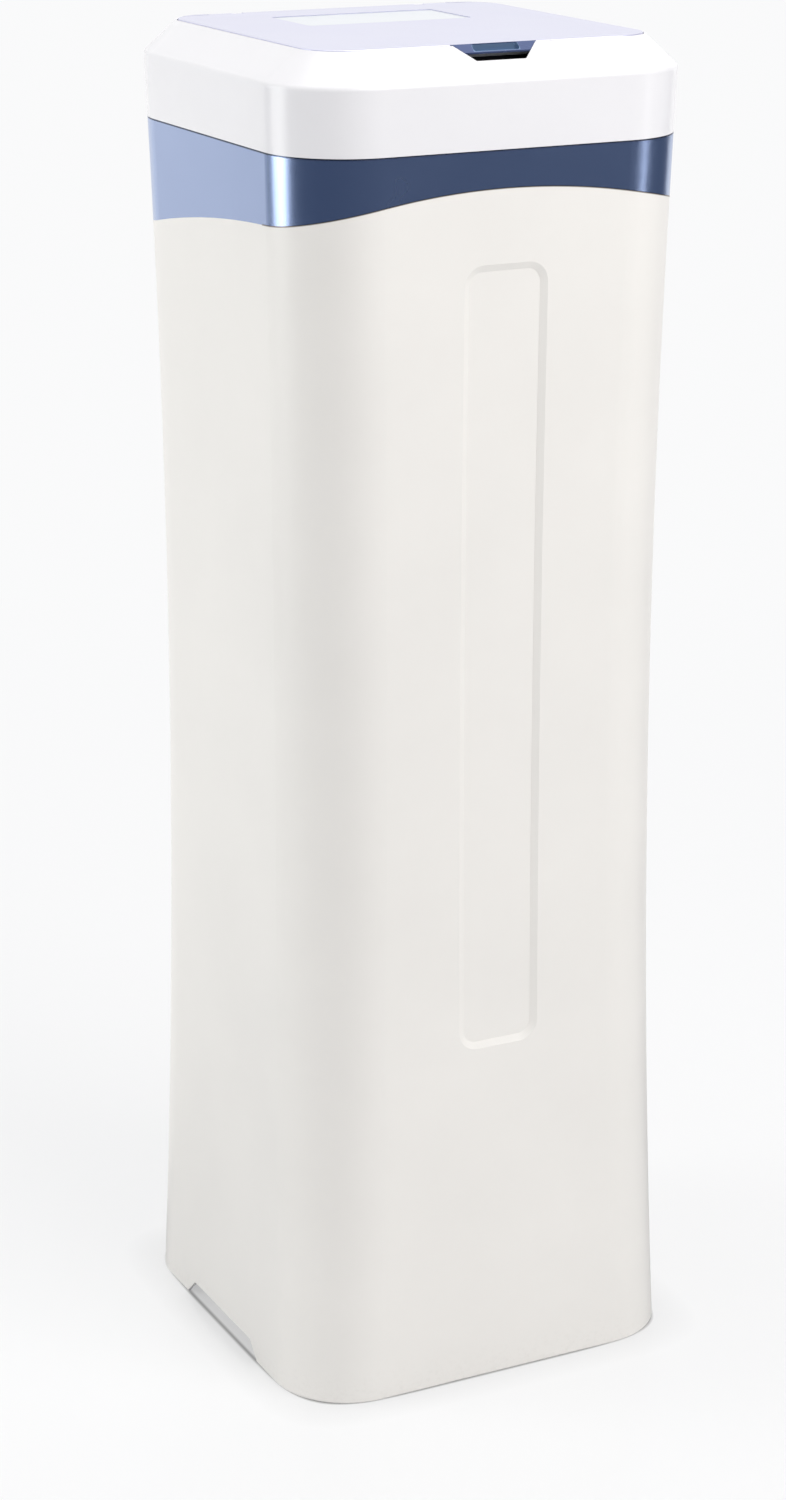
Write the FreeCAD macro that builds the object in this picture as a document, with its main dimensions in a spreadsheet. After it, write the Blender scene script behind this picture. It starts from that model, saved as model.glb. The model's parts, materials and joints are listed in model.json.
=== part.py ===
import FreeCAD, Part
import math
import os
import Sketcher

# Activated carbon water filter in a floor-standing cabinet.
# Millimetres, +Z up, front towards -Y, origin on the floor under the middle of the cabinet.

doc = FreeCAD.newDocument("CarbonFilter")

# Driving sizes
SIZES = {
    # pressure vessel: 10 x 35 inch class with a 2.5 inch neck
    "vessel_diameter": 257.0,
    "vessel_height": 893.0,
    "dome_radius": 80.0,
    "wrap_wall": 4.0,
    "liner_wall": 3.0,
    "neck_height": 18.0,
    "neck_bore": 31.5,
    "insert_wall": 2.5,
    "insert_length": 40.0,
    "boot_base": 8.0,
    "boot_wall": 6.0,
    "boot_height": 90.0,
    # cabinet body
    "side_room": 42.2,
    "base_flare": 11.8,
    "waist_level": 610.0,
    "corner_radius": 68.0,
    "wall": 3.2,
    "floor_thickness": 4.0,
    "foot_height": 16.0,
    "foot_width": 156.0,
    "foot_slant": 18.0,
    "foot_web": 2.0,
    "rib_thickness": 4.0,
    "rib_spacing": 70.0,
    "rim_chamfer": 1.5,
    "panel_width": 74.0,
    "panel_bottom": 303.0,
    "panel_gap": 59.0,
    "panel_depth": 3.0,
    "panel_slope": 5.5,
    "panel_corner": 17.0,
    "panel_backing": 3.0,
    "panel_margin": 6.0,
    # trim band and seams
    "band_height": 30.0,
    "wave_front_radius": 633.0,
    "wave_depth_radius": 1470.0,
    "tongue_height": 10.0,
    "tongue_thickness": 2.0,
    "tongue_gap": 0.3,
    "seam_groove": 1.2,
    # top cover
    "cover_height": 78.0,
    "bevel_rise": 25.6,
    "bevel_run": 29.95,
    "crease_radius": 5.0,
    "ledge_thickness": 2.5,
    "ledge_width": 12.0,
    "rim_rounding": 0.6,
    # lid
    "lid_corner": 34.0,
    "lid_gap": 0.8,
    "lid_thickness": 3.0,
    "lid_rounding": 0.8,
    "skirt_height": 5.3,
    "skirt_thickness": 2.5,
    "seat_gap": 0.2,
    "nose_radius": 3.5,
    "nose_setback": 2.5,
    "cap_setback": 3.9,
    "cap_gap": 1.6,
    "ear_radius": 3.0,
    "ear_width": 9.0,
    "ear_spacing": 170.0,
    "ear_gap": 0.5,
    "ear_slot": 1.5,
    "pin_radius": 1.5,
    "pin_reach": 8.0,
    "label_length": 148.0,
    "label_width": 76.0,
    "label_corner": 4.0,
    "label_back": 47.0,
    "label_thickness": 0.9,
    "label_recess": 0.7,
    "label_gap": 0.3,
    # finger notch and pull
    "notch_top": 76.0,
    "notch_bottom": 43.0,
    "notch_reach": 14.0,
    "notch_depth": 22.0,
    "notch_wall": 3.0,
    "notch_inset": 8.0,
    "pull_reach": 7.5,
    "pull_gap": 0.5,
    "pull_lip": 1.2,
    "pull_tab": 10.0,
    "tab_thickness": 2.0,
    "scoop_width": 40.0,
    "scoop_wall": 0.8,
    "scoop_margin": 0.9,
    "scoop_corner": 2.0,
    # clearances
    "running_gap": 0.05,
    "free_gap": 0.3,
    # media and internal pipework
    "riser_radius": 13.5,
    "riser_wall": 1.6,
    "riser_rise": 24.0,
    "gravel_height": 85.0,
    "freeboard": 150.0,
    "strainer_radius": 24.0,
    "strainer_wall": 2.5,
    "strainer_height": 70.0,
    "slot_width": 1.5,
    "slot_height": 34.0,
    "basket_height": 50.0,
    "basket_gap": 2.0,
    # control valve
    "valve_height": 93.0,
    "collar_radius": 50.0,
    "collar_thickness": 12.0,
    "core_radius": 36.0,
    "head_radius": 54.0,
    "head_thickness": 17.0,
    "port_height": 62.0,
    "port_spacing": 70.0,
    "port_radius": 17.0,
    "port_bore": 11.0,
    "port_start": 20.0,
    "passage_radius": 4.0,
    "web_reach": 20.0,
    "web_thickness": 8.0,
    "web_height": 12.0,
    "spigot_length": 12.0,
    "spigot_wall": 2.4,
    "disc_radius": 26.0,
    "disc_thickness": 6.0,
    "disc_port": 4.5,
    "disc_margin": 2.0,
    "stem_radius": 8.0,
    "stem_flange": 5.0,
    "stem_rise": 3.0,
    "bonnet_height": 24.0,
    "bonnet_flange": 8.0,
    "bonnet_neck": 32.0,
    "screw_radius": 2.5,
    "screw_head": 4.5,
    "screw_head_height": 3.5,
    "screw_length": 12.0,
    "screw_margin": 1.0,
    "plate_head": 4.0,
    "plate_head_height": 2.0,
    "plate_screw_length": 9.0,
    "plate_screw_inset": 7.0,
    "o_ring_section": 3.0,
    # drive and controls
    "gear_module": 1.5,
    "gear_teeth": 60.0,
    "pinion_teeth": 15.0,
    "gear_thickness": 8.0,
    "gear_lift": 5.0,
    "gear_backlash": 0.3,
    "plate_thickness": 3.0,
    "hub_wall": 6.0,
    "hub_rise": 2.0,
    "gear_web": 3.0,
    "motor_radius": 17.0,
    "motor_height": 22.0,
    "motor_room": 27.0,
    "gearbox_share": 0.6,
    "can_step": 5.0,
    "shaft_radius": 3.0,
    "shaft_gap": 1.5,
    "bracket_thickness": 2.0,
    "bracket_lift": 4.0,
    "bracket_inset": 5.0,
    "housing_height": 52.0,
    "housing_wall": 2.5,
    "housing_front": 80.0,
    "housing_back": 55.0,
    "housing_corner": 10.0,
    "housing_rounding": 3.0,
    "lens_length": 88.0,
    "lens_width": 40.0,
    "lens_thickness": 1.5,
    "lens_lap": 3.0,
    "lens_corner": 1.0,
    "board_drop": 8.0,
    "board_thickness": 1.6,
    "board_extra": 50.0,
    "board_margin": 6.0,
    "post_radius": 2.5,
    "switch_size": 6.0,
    "switch_height": 3.0,
    "module_margin": 5.0,
    "key_size": 14.0,
    "key_pitch": 20.0,
    "key_proud": 1.6,
    "key_travel": 1.0,
    "key_flange": 1.2,
    "key_rim": 1.6,
    "key_corner": 2.0,
    "key_stem": 1.6,
    "key_play": 0.1,
    "head_room": 35.0,
    # deck
    "deck_thickness": 3.0,
    "deck_gap": 2.0,
    "boss_radius": 8.0,
    "boss_height": 24.0,
    "boss_tuck": 2.0,
    "deck_screw_radius": 1.9,
    "deck_screw_length": 16.0,
    "deck_head_height": 2.2,
    # bypass, ports and drain
    "bypass_inset": 7.0,
    "bypass_radius": 20.0,
    "bypass_rise": 24.0,
    "plug_radius": 15.0,
    "plug_stem": 6.0,
    "knob_radius": 19.0,
    "knob_base": 7.0,
    "knob_grip": 9.0,
    "knob_grip_width": 8.0,
    "crossover_radius": 9.0,
    "plug_bore": 8.5,
    "knob_chamfer": 1.0,
    "grip_inset": 1.5,
    "boss_reach": 28.5,
    "nipple_radius": 16.62,
    "nipple_length": 22.0,
    "nipple_neck": 3.5,
    "neck_relief": 0.6,
    "flange_thickness": 4.0,
    "nut_radius": 22.5,
    "nut_length": 15.0,
    "nut_lip": 3.0,
    "clip_thickness": 2.0,
    "clip_groove": 3.0,
    "clip_overlap": 3.0,
    "clip_drop": 12.0,
    "clip_height": 38.0,
    "ring_groove": 1.5,
    "ring_setback": 4.0,
    "boss_step": 1.0,
    "drain_radius": 8.0,
    "drain_wall": 2.2,
    "drain_boss": 3.0,
    "drain_run": 50.0,
    "stub_length": 12.0,
    "elbow_wall": 3.2,
    "drain_bend": 12.0,
    "drain_forward": 30.0,
    "drain_offset": 58.0,
    "barb_radius": 7.0,
    "barb_length": 24.0,
    "opening_width": 164.0,
    "opening_below": 40.0,
    "opening_above": 50.0,
    "opening_corner": 10.0,
    # low-voltage socket
    "socket_offset": 88.0,
    "socket_drop": 85.0,
    "socket_radius": 6.0,
    "socket_flange": 9.0,
    "socket_length": 16.0,
    "socket_rim": 1.6,
    "socket_floor": 3.0,
    "socket_bore": 2.8,
    "socket_seat": 0.2,
}

# Places and radii that follow from the driving sizes
PLACES = {
    "vessel_radius": "Dim.vessel_diameter / 2",
    "floor_level": "Dim.foot_height + Dim.foot_web",
    "floor_top": "floor_level + Dim.floor_thickness",
    "vessel_base": "floor_top + Dim.boot_base",
    "neck_top": "vessel_base + Dim.vessel_height",
    "dome_top": "neck_top - Dim.neck_height",
    "wrap_inside": "vessel_radius - Dim.wrap_wall",
    "liner_inside": "wrap_inside - Dim.liner_wall",
    "media_base": "vessel_base + Dim.wrap_wall + Dim.liner_wall",
    "dome_inside": "dome_top - Dim.wrap_wall - Dim.liner_wall",
    "insert_radius": "Dim.neck_bore + Dim.insert_wall",
    "liner_neck": "insert_radius + Dim.liner_wall",
    "wrap_neck": "liner_neck + Dim.wrap_wall",
    "gravel_top": "media_base + Dim.gravel_height",
    "carbon_top": "dome_top - Dim.dome_radius - Dim.freeboard",
    "disc_seat": "neck_top + Dim.valve_height",
    "bonnet_top": "disc_seat + Dim.bonnet_height",
    "plate_top": "bonnet_top + Dim.plate_thickness",
    "housing_top": "plate_top + Dim.housing_height",
    "total_height": "housing_top + Dim.head_room",
    "seam_level": "total_height - Dim.cover_height",
    "crease_level": "total_height - Dim.bevel_rise",
    "wave_top": "seam_level - Dim.band_height",
    "port_level": "neck_top + Dim.port_height",
    "port_offset": "Dim.port_spacing / 2",
    "waist_half": "vessel_radius + Dim.side_room",
    "flare_radius": "(Dim.waist_level ^ 2 + Dim.base_flare ^ 2) / (2 * Dim.base_flare)",
    "flare_centre": "waist_half + flare_radius",
    "seam_half": "flare_centre - sqrt(flare_radius ^ 2 - (seam_level - Dim.waist_level) ^ 2)",
    "crease_half": "flare_centre - sqrt(flare_radius ^ 2 - (crease_level - Dim.waist_level) ^ 2)",
    "lid_half": "crease_half - Dim.bevel_run",
    "opening_half": "lid_half + Dim.lid_gap",
    "lid_under": "total_height - Dim.lid_thickness",
    "ledge_top": "lid_under - Dim.skirt_height - Dim.seat_gap",
    "ledge_under": "ledge_top - Dim.ledge_thickness",
    "notch_back": "lid_half - Dim.notch_inset",
    "pull_fall": "(Dim.pull_reach - Dim.lid_gap) * Dim.bevel_rise / (crease_half - opening_half)",
    "pull_under": "total_height - pull_fall - Dim.pull_lip",
    "cover_tongue": "seam_level - Dim.tongue_height",
    "hinge_y": "lid_half - Dim.nose_radius",
    "hinge_z": "total_height - Dim.nose_radius",
    "nose_half": "lid_half - Dim.lid_corner - Dim.nose_setback",
    "cap_front": "hinge_y - Dim.cap_setback",
    "gear_base": "plate_top + Dim.gear_lift",
    "gear_top": "gear_base + Dim.gear_thickness",
    "gear_centres": "Dim.gear_module * (Dim.gear_teeth + Dim.pinion_teeth) / 2",
    "housing_half": "gear_centres + Dim.motor_room",
    "bracket_base": "gear_top + Dim.bracket_lift",
    "board_top": "housing_top - Dim.housing_wall - Dim.board_drop",
    "bypass_y": "seam_half - Dim.bypass_inset",
    "valve_reach": "bypass_y - Dim.bypass_radius - Dim.spigot_length",
    "boss_end": "bypass_y + Dim.boss_reach",
    "thread_start": "boss_end + Dim.flange_thickness + Dim.nipple_neck",
    "nipple_end": "thread_start + Dim.nipple_length",
    "bypass_top": "port_level + Dim.bypass_rise",
    "drain_x": "Dim.drain_offset + Dim.drain_bend",
    "drain_y": "0 - Dim.drain_forward",
    "deck_under": "plate_top - Dim.deck_thickness",
    "band_wall": "Dim.wall + Dim.tongue_gap + Dim.tongue_thickness",
    "socket_level": "port_level - Dim.socket_drop",
    "socket_face": "flare_centre - sqrt(flare_radius ^ 2 - (socket_level - Dim.waist_level) ^ 2)",
    "boss_swing": "Dim.corner_radius - band_wall - Dim.boss_radius + Dim.boss_tuck",
    "boss_place": "seam_half - Dim.corner_radius + boss_swing / sqrt(2)",
    "label_top": "total_height - Dim.label_recess",
    "label_under": "label_top - Dim.label_thickness",
    "screw_spread": "Dim.head_radius - 2 * Dim.screw_radius - Dim.screw_margin",
    "plate_spread": "Dim.bonnet_neck - Dim.plate_screw_inset",
    "port_flange": "Dim.port_radius + Dim.boss_step",
    "ring_seat": "Dim.port_bore - Dim.running_gap - Dim.ring_groove",
    "ring_y": "valve_reach - Dim.spigot_length + Dim.ring_setback",
}

dim = doc.addObject("Spreadsheet::Sheet", "Dim")
for row, (alias, size) in enumerate(SIZES.items(), start=1):
    dim.set("A%d" % row, alias)
    dim.set("B%d" % row, str(size))
    dim.setAlias("B%d" % row, alias)

place = doc.addObject("Spreadsheet::Sheet", "Place")
for row, (alias, formula) in enumerate(PLACES.items(), start=1):
    place.set("A%d" % row, alias)
    place.set("B%d" % row, "=" + formula)
    place.setAlias("B%d" % row, alias)
doc.recompute()

ALONG_X = FreeCAD.Rotation(FreeCAD.Vector(0, 1, 0), 90)
ALONG_Y = FreeCAD.Rotation(FreeCAD.Vector(1, 0, 0), -90)
X_AXIS = FreeCAD.Vector(1, 0, 0)
Y_AXIS = FreeCAD.Vector(0, 1, 0)
Z_AXIS = FreeCAD.Vector(0, 0, 1)

# How far a cutting solid runs on past the surface it cuts
PAST = 1

nodes = []


# Formulas and placements


def amount(formula):
    """The value of a formula in the sheets' names."""
    return float(dim.evalExpression(str(formula)))


def bind(item, **formulas):
    for name, formula in formulas.items():
        item.setExpression(name, str(formula))
    return item


def locate(item, x=0, y=0, z=0, turn=None):
    if turn is not None:
        item.Placement = FreeCAD.Placement(FreeCAD.Vector(), turn)
    for letter, formula in zip("xyz", (x, y, z)):
        item.setExpression("Placement.Base." + letter, str(formula))
    return item


def keep(item, label):
    """Name an object as one of the parts that are written out."""
    item.Label = label
    nodes.append(item)
    return item


# Solids made of primitives and booleans


def block(x, y, z, length, width, height):
    """A box from its lowest corner."""
    item = bind(doc.addObject("Part::Box", "Block"), Length=length, Width=width, Height=height)
    return locate(item, x, y, z)


def rod(radius, length, x=0, y=0, z=0, turn=None):
    item = bind(doc.addObject("Part::Cylinder", "Rod"), Radius=radius, Height=length)
    return locate(item, x, y, z, turn)


def fused(*items):
    item = doc.addObject("Part::MultiFuse", "Joined")
    item.Shapes = list(items)
    item.Refine = True
    return item


def shared(*items):
    item = doc.addObject("Part::MultiCommon", "Shared")
    item.Shapes = list(items)
    return item


def cut(base, *tools):
    item = doc.addObject("Part::Cut", "Trimmed")
    item.Base = base
    item.Tool = tools[0] if len(tools) == 1 else fused(*tools)
    item.Refine = True
    return item


def made(shape, name="Made"):
    """A shape that has no parametric feature of its own kind."""
    item = doc.addObject("Part::Feature", name)
    item.Shape = shape
    item.Placement = FreeCAD.Placement()
    return item


# Solids made of sketches


def outline(body, role, corners):
    """A closed polygon on one of the body's planes, each corner held by two bound dimensions."""
    sketch = body.newObject("Sketcher::SketchObject", "Outline")
    plane = [item for item in body.Origin.OriginFeatures if item.Role == role][0]
    sketch.AttachmentSupport = [(plane, "")]
    sketch.MapMode = "FlatFace"
    spots = [FreeCAD.Vector(amount(across), amount(up), 0) for across, up in corners]
    count = len(spots)
    for index in range(count):
        sketch.addGeometry(Part.LineSegment(spots[index], spots[(index + 1) % count]), False)
    for index in range(count):
        sketch.addConstraint(Sketcher.Constraint("Coincident", index, 2, (index + 1) % count, 1))
    for index, (across, up) in enumerate(corners):
        for kind, formula, size in (("DistanceX", across, spots[index].x), ("DistanceY", up, spots[index].y)):
            held = sketch.addConstraint(Sketcher.Constraint(kind, -1, 1, index, 1, size))
            sketch.setExpression("Constraints[%d]" % held, str(formula))
    return sketch


def turned(corners, x=0, y=0, z=0, turn=None):
    """A solid of revolution about Z from corners given as (radius, level)."""
    body = doc.addObject("PartDesign::Body", "Turned")
    sketch = outline(body, "XZ_Plane", corners)
    spin = body.newObject("PartDesign::Revolution", "Spin")
    spin.Profile = sketch
    spin.ReferenceAxis = (sketch, ["V_Axis"])
    spin.Angle = 360.0
    return locate(body, x, y, z, turn)


def slab(corners, level, thickness, corner=None):
    """A plate on a polygon, its upright edges rounded where a corner radius is given."""
    body = doc.addObject("PartDesign::Body", "Slab")
    sketch = outline(body, "XY_Plane", corners)
    pad = body.newObject("PartDesign::Pad", "Pad")
    pad.Profile = sketch
    bind(pad, Length=thickness)
    locate(body, 0, 0, level)
    if corner is not None:
        rounded(body, corner, is_upright)
    return body


def is_upright(edge):
    return abs(edge.tangentAt(edge.FirstParameter).z) > 0.999


def rounded(body, radius, chosen):
    """Round the edges of the body that the test picks out."""
    doc.recompute()
    solid = body.Tip
    names = ["Edge%d" % (index + 1) for index, edge in enumerate(solid.Shape.Edges) if chosen(edge)]
    fillet = body.newObject("PartDesign::Fillet", "Rounding")
    fillet.Base = (solid, names)
    bind(fillet, Radius=radius)
    body.Tip = fillet
    return body


def at_rings(*rings):
    """A test for the full circles at the given radius and level pairs."""
    wanted = [(amount(radius), amount(level)) for radius, level in rings]

    def chosen(edge):
        if not isinstance(edge.Curve, Part.Circle):
            return False
        found = (edge.Curve.Radius, edge.Curve.Center.z)
        return any(math.dist(found, ring) < 0.01 for ring in wanted)

    return chosen


def rectangle(left, front, right, back):
    return [(left, front), (right, front), (right, back), (left, back)]


def square(half):
    return rectangle("0 - (%s)" % half, "0 - (%s)" % half, half, half)


def ring_of(make, count, radius, first=0.0):
    """Copies of one piece about Z, each made by a function of its x and y formulas."""
    spots = [math.radians(first + 360.0 * index / count) for index in range(count)]
    return [make("%.9f * (%s)" % (math.cos(a), radius), "%.9f * (%s)" % (math.sin(a), radius)) for a in spots]


def screw(radius, head, head_height, length, x, y, seat):
    """A pan-head screw whose head stands on the level called seat."""
    profile = [(0, "-(%s)" % length), (radius, "-(%s)" % length), (radius, 0), (head, 0)]
    profile += [(head, head_height), (0, head_height)]
    return turned(profile, x, y, seat)


# Cabinet envelope: four walls that curve in gently to a waist, with rounded upright corners


def wall_half(level, inset):
    radius = place.flare_radius + inset
    return place.flare_centre - math.sqrt(radius**2 - (level - dim.waist_level) ** 2)


def envelope(inset):
    """The cabinet's full height, with every wall moved in by the inset."""
    top = place.total_height
    reach = 2 * place.crease_half
    levels = (0, top / 2, top)
    walls = []
    for across, along in ((X_AXIS, Y_AXIS), (Y_AXIS, X_AXIS)):
        right = [across * wall_half(level, inset) + Z_AXIS * level for level in levels]
        left = [Z_AXIS * level - across * wall_half(level, inset) for level in levels]
        edges = [
            Part.makeLine(left[0], right[0]),
            Part.Arc(*right).toShape(),
            Part.makeLine(right[2], left[2]),
            Part.Arc(*left).toShape(),
        ]
        profile = Part.Face(Part.Wire(Part.__sortEdges__(edges)))
        profile.translate(along * -reach)
        walls.append(profile.extrude(along * (2 * reach)))
    square_column = walls[0].common(walls[1])
    upright = [edge for edge in square_column.Edges if edge.BoundBox.ZLength > top / 2]
    return square_column.makeFillet(dim.corner_radius - inset, upright)


def layer(shape, low, high):
    """The part of a shape between two levels."""
    size = 4 * place.crease_half
    return shape.common(Part.makeBox(size, size, high - low, FreeCAD.Vector(-size / 2, -size / 2, low)))


def rounded_square(half, radius, level):
    """A square outline with arc corners, at a level."""
    flat = half - radius
    diagonal = flat + radius / math.sqrt(2)
    edges = []
    for quarter in range(4):
        turn = FreeCAD.Rotation(Z_AXIS, 90 * quarter)
        spots = [(half, -flat), (half, flat), (diagonal, diagonal), (flat, half)]
        start, end, middle, far = [turn.multVec(FreeCAD.Vector(a, b, level)) for a, b in spots]
        edges.append(Part.makeLine(start, end))
        edges.append(Part.Arc(end, middle, far).toShape())
    return Part.Wire(edges)


def below_wave(drop=0.0):
    """The torus whose outside is the wave line between the body and the trim band."""
    major = dim.wave_depth_radius - dim.wave_front_radius
    centre = FreeCAD.Vector(0, -place.seam_half, place.wave_top - drop - dim.wave_depth_radius)
    return Part.makeTorus(major, dim.wave_front_radius, centre, X_AXIS)


outer = envelope(0)
inner = envelope(dim.wall)
tongue_outer = envelope(dim.wall + dim.tongue_gap)
tongue_inner = envelope(place.band_wall)
wave = below_wave()


def rear_opening():
    """The service cut-out in the back for the bypass, the drain and the pipes."""
    low = place.port_level - dim.opening_below
    high = place.port_level + dim.opening_above
    depth = 2 * dim.corner_radius
    corner = FreeCAD.Vector(-dim.opening_width / 2, place.waist_half - dim.corner_radius / 2, low)
    hole = Part.makeBox(dim.opening_width, depth, high - low, corner)
    along = [edge for edge in hole.Edges if edge.BoundBox.YLength > depth / 2]
    return hole.makeFillet(dim.opening_corner, along)


def front_panel_recess():
    """A prism as wide as the floor of the long shallow panel in the front wall."""
    slope = dim.panel_slope
    low = dim.panel_bottom + slope
    high = place.wave_top - dim.panel_gap - slope
    far = place.crease_half + dim.corner_radius
    half = dim.panel_width / 2 - slope
    prism = Part.makeBox(2 * half, far, high - low, FreeCAD.Vector(-half, -far, low))
    along = [edge for edge in prism.Edges if edge.BoundBox.YLength > far / 2]
    return prism.makeFillet(dim.panel_corner - slope, along)


def panel_backing():
    """The block behind the recess that keeps the front wall's thickness."""
    half = dim.panel_width / 2 + dim.panel_margin
    low = dim.panel_bottom - dim.panel_margin
    high = place.wave_top - dim.panel_gap + dim.panel_margin
    far = place.crease_half + dim.corner_radius
    return Part.makeBox(2 * half, far, high - low, FreeCAD.Vector(-half, -far, low))


def foot_notches():
    """Trapezoids cut through the two side walls at the floor, clear of the ribs between them."""
    half = dim.foot_width / 2
    high = dim.foot_height
    spots = [(-half, -PAST), (half, -PAST), (half - dim.foot_slant, high), (dim.foot_slant - half, high)]
    notches = []
    for side in (-1, 1):
        start = side * place.waist_half
        wire = Part.makePolygon([FreeCAD.Vector(start, y, z) for y, z in spots + spots[:1]])
        notches.append(Part.Face(wire).extrude(X_AXIS * (side * dim.corner_radius)))
    return notches


def panel_edges(shell):
    """The edges where the panel's recess meets the front surface."""
    found = []
    half = dim.panel_width / 2 - dim.panel_slope + 0.01
    for edge in shell.Edges:
        middle = edge.valueAt((edge.FirstParameter + edge.LastParameter) / 2)
        on_front = abs(middle.y + wall_half(middle.z, 0)) < 0.02
        beside = dim.panel_bottom < middle.z < place.wave_top - dim.panel_gap
        if on_front and beside and abs(middle.x) < half and edge.BoundBox.XLength < 2 * half:
            found.append(edge)
    return found


def socket_hole():
    mouth = FreeCAD.Vector(-dim.socket_offset, place.waist_half - 3 * dim.wall, place.socket_level)
    return Part.makeCylinder(dim.socket_radius, 6 * dim.wall, mouth, Y_AXIS)


def cabinet_body():
    column = outer.common(wave)
    rim = [edge for edge in column.Edges if edge.BoundBox.ZMax < 0.01]
    column = column.makeChamfer(dim.rim_chamfer, rim)
    column = column.cut(front_panel_recess().cut(envelope(dim.panel_depth)))
    column = column.makeChamfer(dim.panel_slope, dim.panel_depth - 0.2, panel_edges(column))
    hollow = layer(inner, place.floor_top, place.total_height)
    hollow = hollow.cut(panel_backing().cut(envelope(dim.panel_depth + dim.panel_backing)))
    under = layer(inner, -PAST, place.floor_level)
    length = 2 * place.crease_half
    height = place.floor_level + 2 * PAST
    for offset in (-dim.rib_spacing, 0, dim.rib_spacing):
        corner = FreeCAD.Vector(offset - dim.rib_thickness / 2, -place.crease_half, -2 * PAST)
        under = under.cut(Part.makeBox(dim.rib_thickness, length, height, corner))
    return column.cut([hollow, under, rear_opening(), socket_hole()] + foot_notches())


def deck_bosses():
    """The four corner posts inside the band that carry the deck."""
    low = place.deck_under - dim.boss_height
    spots = [FreeCAD.Vector(x, y, 0) * place.boss_place + Z_AXIS * low for x in (-1, 1) for y in (-1, 1)]
    posts = [Part.makeCylinder(dim.boss_radius, dim.boss_height, spot) for spot in spots]
    holes = [Part.makeCylinder(dim.deck_screw_radius, dim.boss_height, spot) for spot in spots]
    wall = outer.cut(envelope(place.band_wall + dim.tongue_gap))
    behind_tongue = layer(wall, place.cover_tongue, place.total_height)
    joined = posts[0].fuse(posts[1:]).common(envelope(dim.wall / 2))
    return joined.cut(behind_tongue), holes


def trim_band():
    ring = layer(outer.cut(tongue_inner), 0, place.seam_level).cut(wave)
    skirt = layer(tongue_outer.cut(tongue_inner), 0, place.seam_level).common(wave)
    skirt = skirt.cut(below_wave(dim.tongue_height))
    rebate = layer(inner, place.cover_tongue, place.total_height)
    groove = outer.cut(envelope(dim.seam_groove))
    groove = layer(groove, place.seam_level - dim.seam_groove, place.total_height)
    posts, holes = deck_bosses()
    band = ring.cut([rebate, groove]).fuse([skirt, posts]).removeSplitter()
    return band.cut(holes + [rear_opening()])


def cover_loft(sections):
    return Part.makeLoft([rounded_square(*section) for section in sections], True, True)


def bevel_half(level, inset=0.0):
    """Half width of the cover's bevel at a level, with the surface moved in square to itself."""
    run = place.crease_half - place.opening_half
    slant = math.hypot(run, dim.bevel_rise)
    return place.crease_half - ((level - place.crease_level) * run + inset * slant) / dim.bevel_rise


def bevel_corner(level):
    """Corner radius of the cover's bevel at a level."""
    share = (level - place.crease_level) / dim.bevel_rise
    return dim.corner_radius + share * (dim.lid_corner + dim.lid_gap - dim.corner_radius)


def cover_outside():
    outside = cover_loft(
        [
            (place.seam_half, dim.corner_radius, place.seam_level),
            (place.crease_half, dim.corner_radius, place.crease_level),
            (place.opening_half, dim.lid_corner + dim.lid_gap, place.total_height),
        ]
    )
    crease = [edge for edge in outside.Edges if on_level(edge, place.crease_level)]
    return outside.makeFillet(dim.crease_radius, crease)


def on_level(edge, level):
    return abs(edge.BoundBox.ZMin - level) < 0.01 and abs(edge.BoundBox.ZMax - level) < 0.01


def cover_hollow():
    wall = dim.wall
    run = place.crease_half - place.opening_half
    slant = math.hypot(run, dim.bevel_rise)
    bend = place.crease_level + wall * (dim.bevel_rise - slant) / run
    top = place.ledge_under
    return cover_loft(
        [
            (place.seam_half - wall, dim.corner_radius - wall, place.seam_level - PAST),
            (place.crease_half - wall, dim.corner_radius - wall, bend),
            (bevel_half(top, wall), bevel_corner(top) - wall, top),
        ]
    )


def notch_plan(gap, reach, back):
    """The notch's outline from above: straight under the lid, tapering down the bevel."""
    top = dim.notch_top / 2 - gap
    taper = (dim.notch_top - dim.notch_bottom) / 2 * reach / dim.notch_reach
    front = place.lid_half + reach
    spots = [(-top, -back), (-top, -place.lid_half), (taper - top, -front)]
    spots += [(top - taper, -front), (top, -place.lid_half), (top, -back)]
    return spots


def plate(wire, thickness):
    return Part.Face(wire).extrude(Z_AXIS * thickness)


def prism(spots, low, high):
    corners = [FreeCAD.Vector(x, y, low) for x, y in spots + spots[:1]]
    return plate(Part.makePolygon(corners), high - low)


def notch_room():
    """The finger notch itself, open at the top."""
    low = place.total_height - dim.notch_depth
    return prism(notch_plan(0, dim.notch_reach, place.notch_back), low, place.total_height + PAST)


def notch_tray():
    """The cup under the notch, which fills the cover's hollow up to the ledge and the bevel."""
    half = dim.notch_top / 2 + dim.notch_wall
    low = place.total_height - dim.notch_depth - dim.notch_wall
    front = place.lid_half + dim.notch_reach + dim.notch_wall
    back = place.notch_back - dim.notch_wall
    block = Part.makeBox(2 * half, front - back, dim.notch_depth, FreeCAD.Vector(-half, -front, low))
    return block.common(cover_hollow()).cut(notch_room())


def hinge_ears():
    """Two lugs on the ledge behind the lid, bored for the pins."""
    ears = []
    bores = []
    for side in (-1, 1):
        left = side * dim.ear_spacing / 2 - dim.ear_width / 2
        axis = FreeCAD.Vector(left, place.hinge_y, place.hinge_z)
        ears.append(Part.makeCylinder(dim.ear_radius, dim.ear_width, axis, X_AXIS))
        depth = place.opening_half + dim.rim_rounding - place.hinge_y + dim.ear_radius
        foot = FreeCAD.Vector(left, place.hinge_y - dim.ear_radius, place.ledge_under)
        ears.append(Part.makeBox(dim.ear_width, depth, place.hinge_z - place.ledge_under, foot))
        bores.append(Part.makeCylinder(dim.pin_radius, dim.ear_width, axis, X_AXIS))
    return ears, bores


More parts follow.
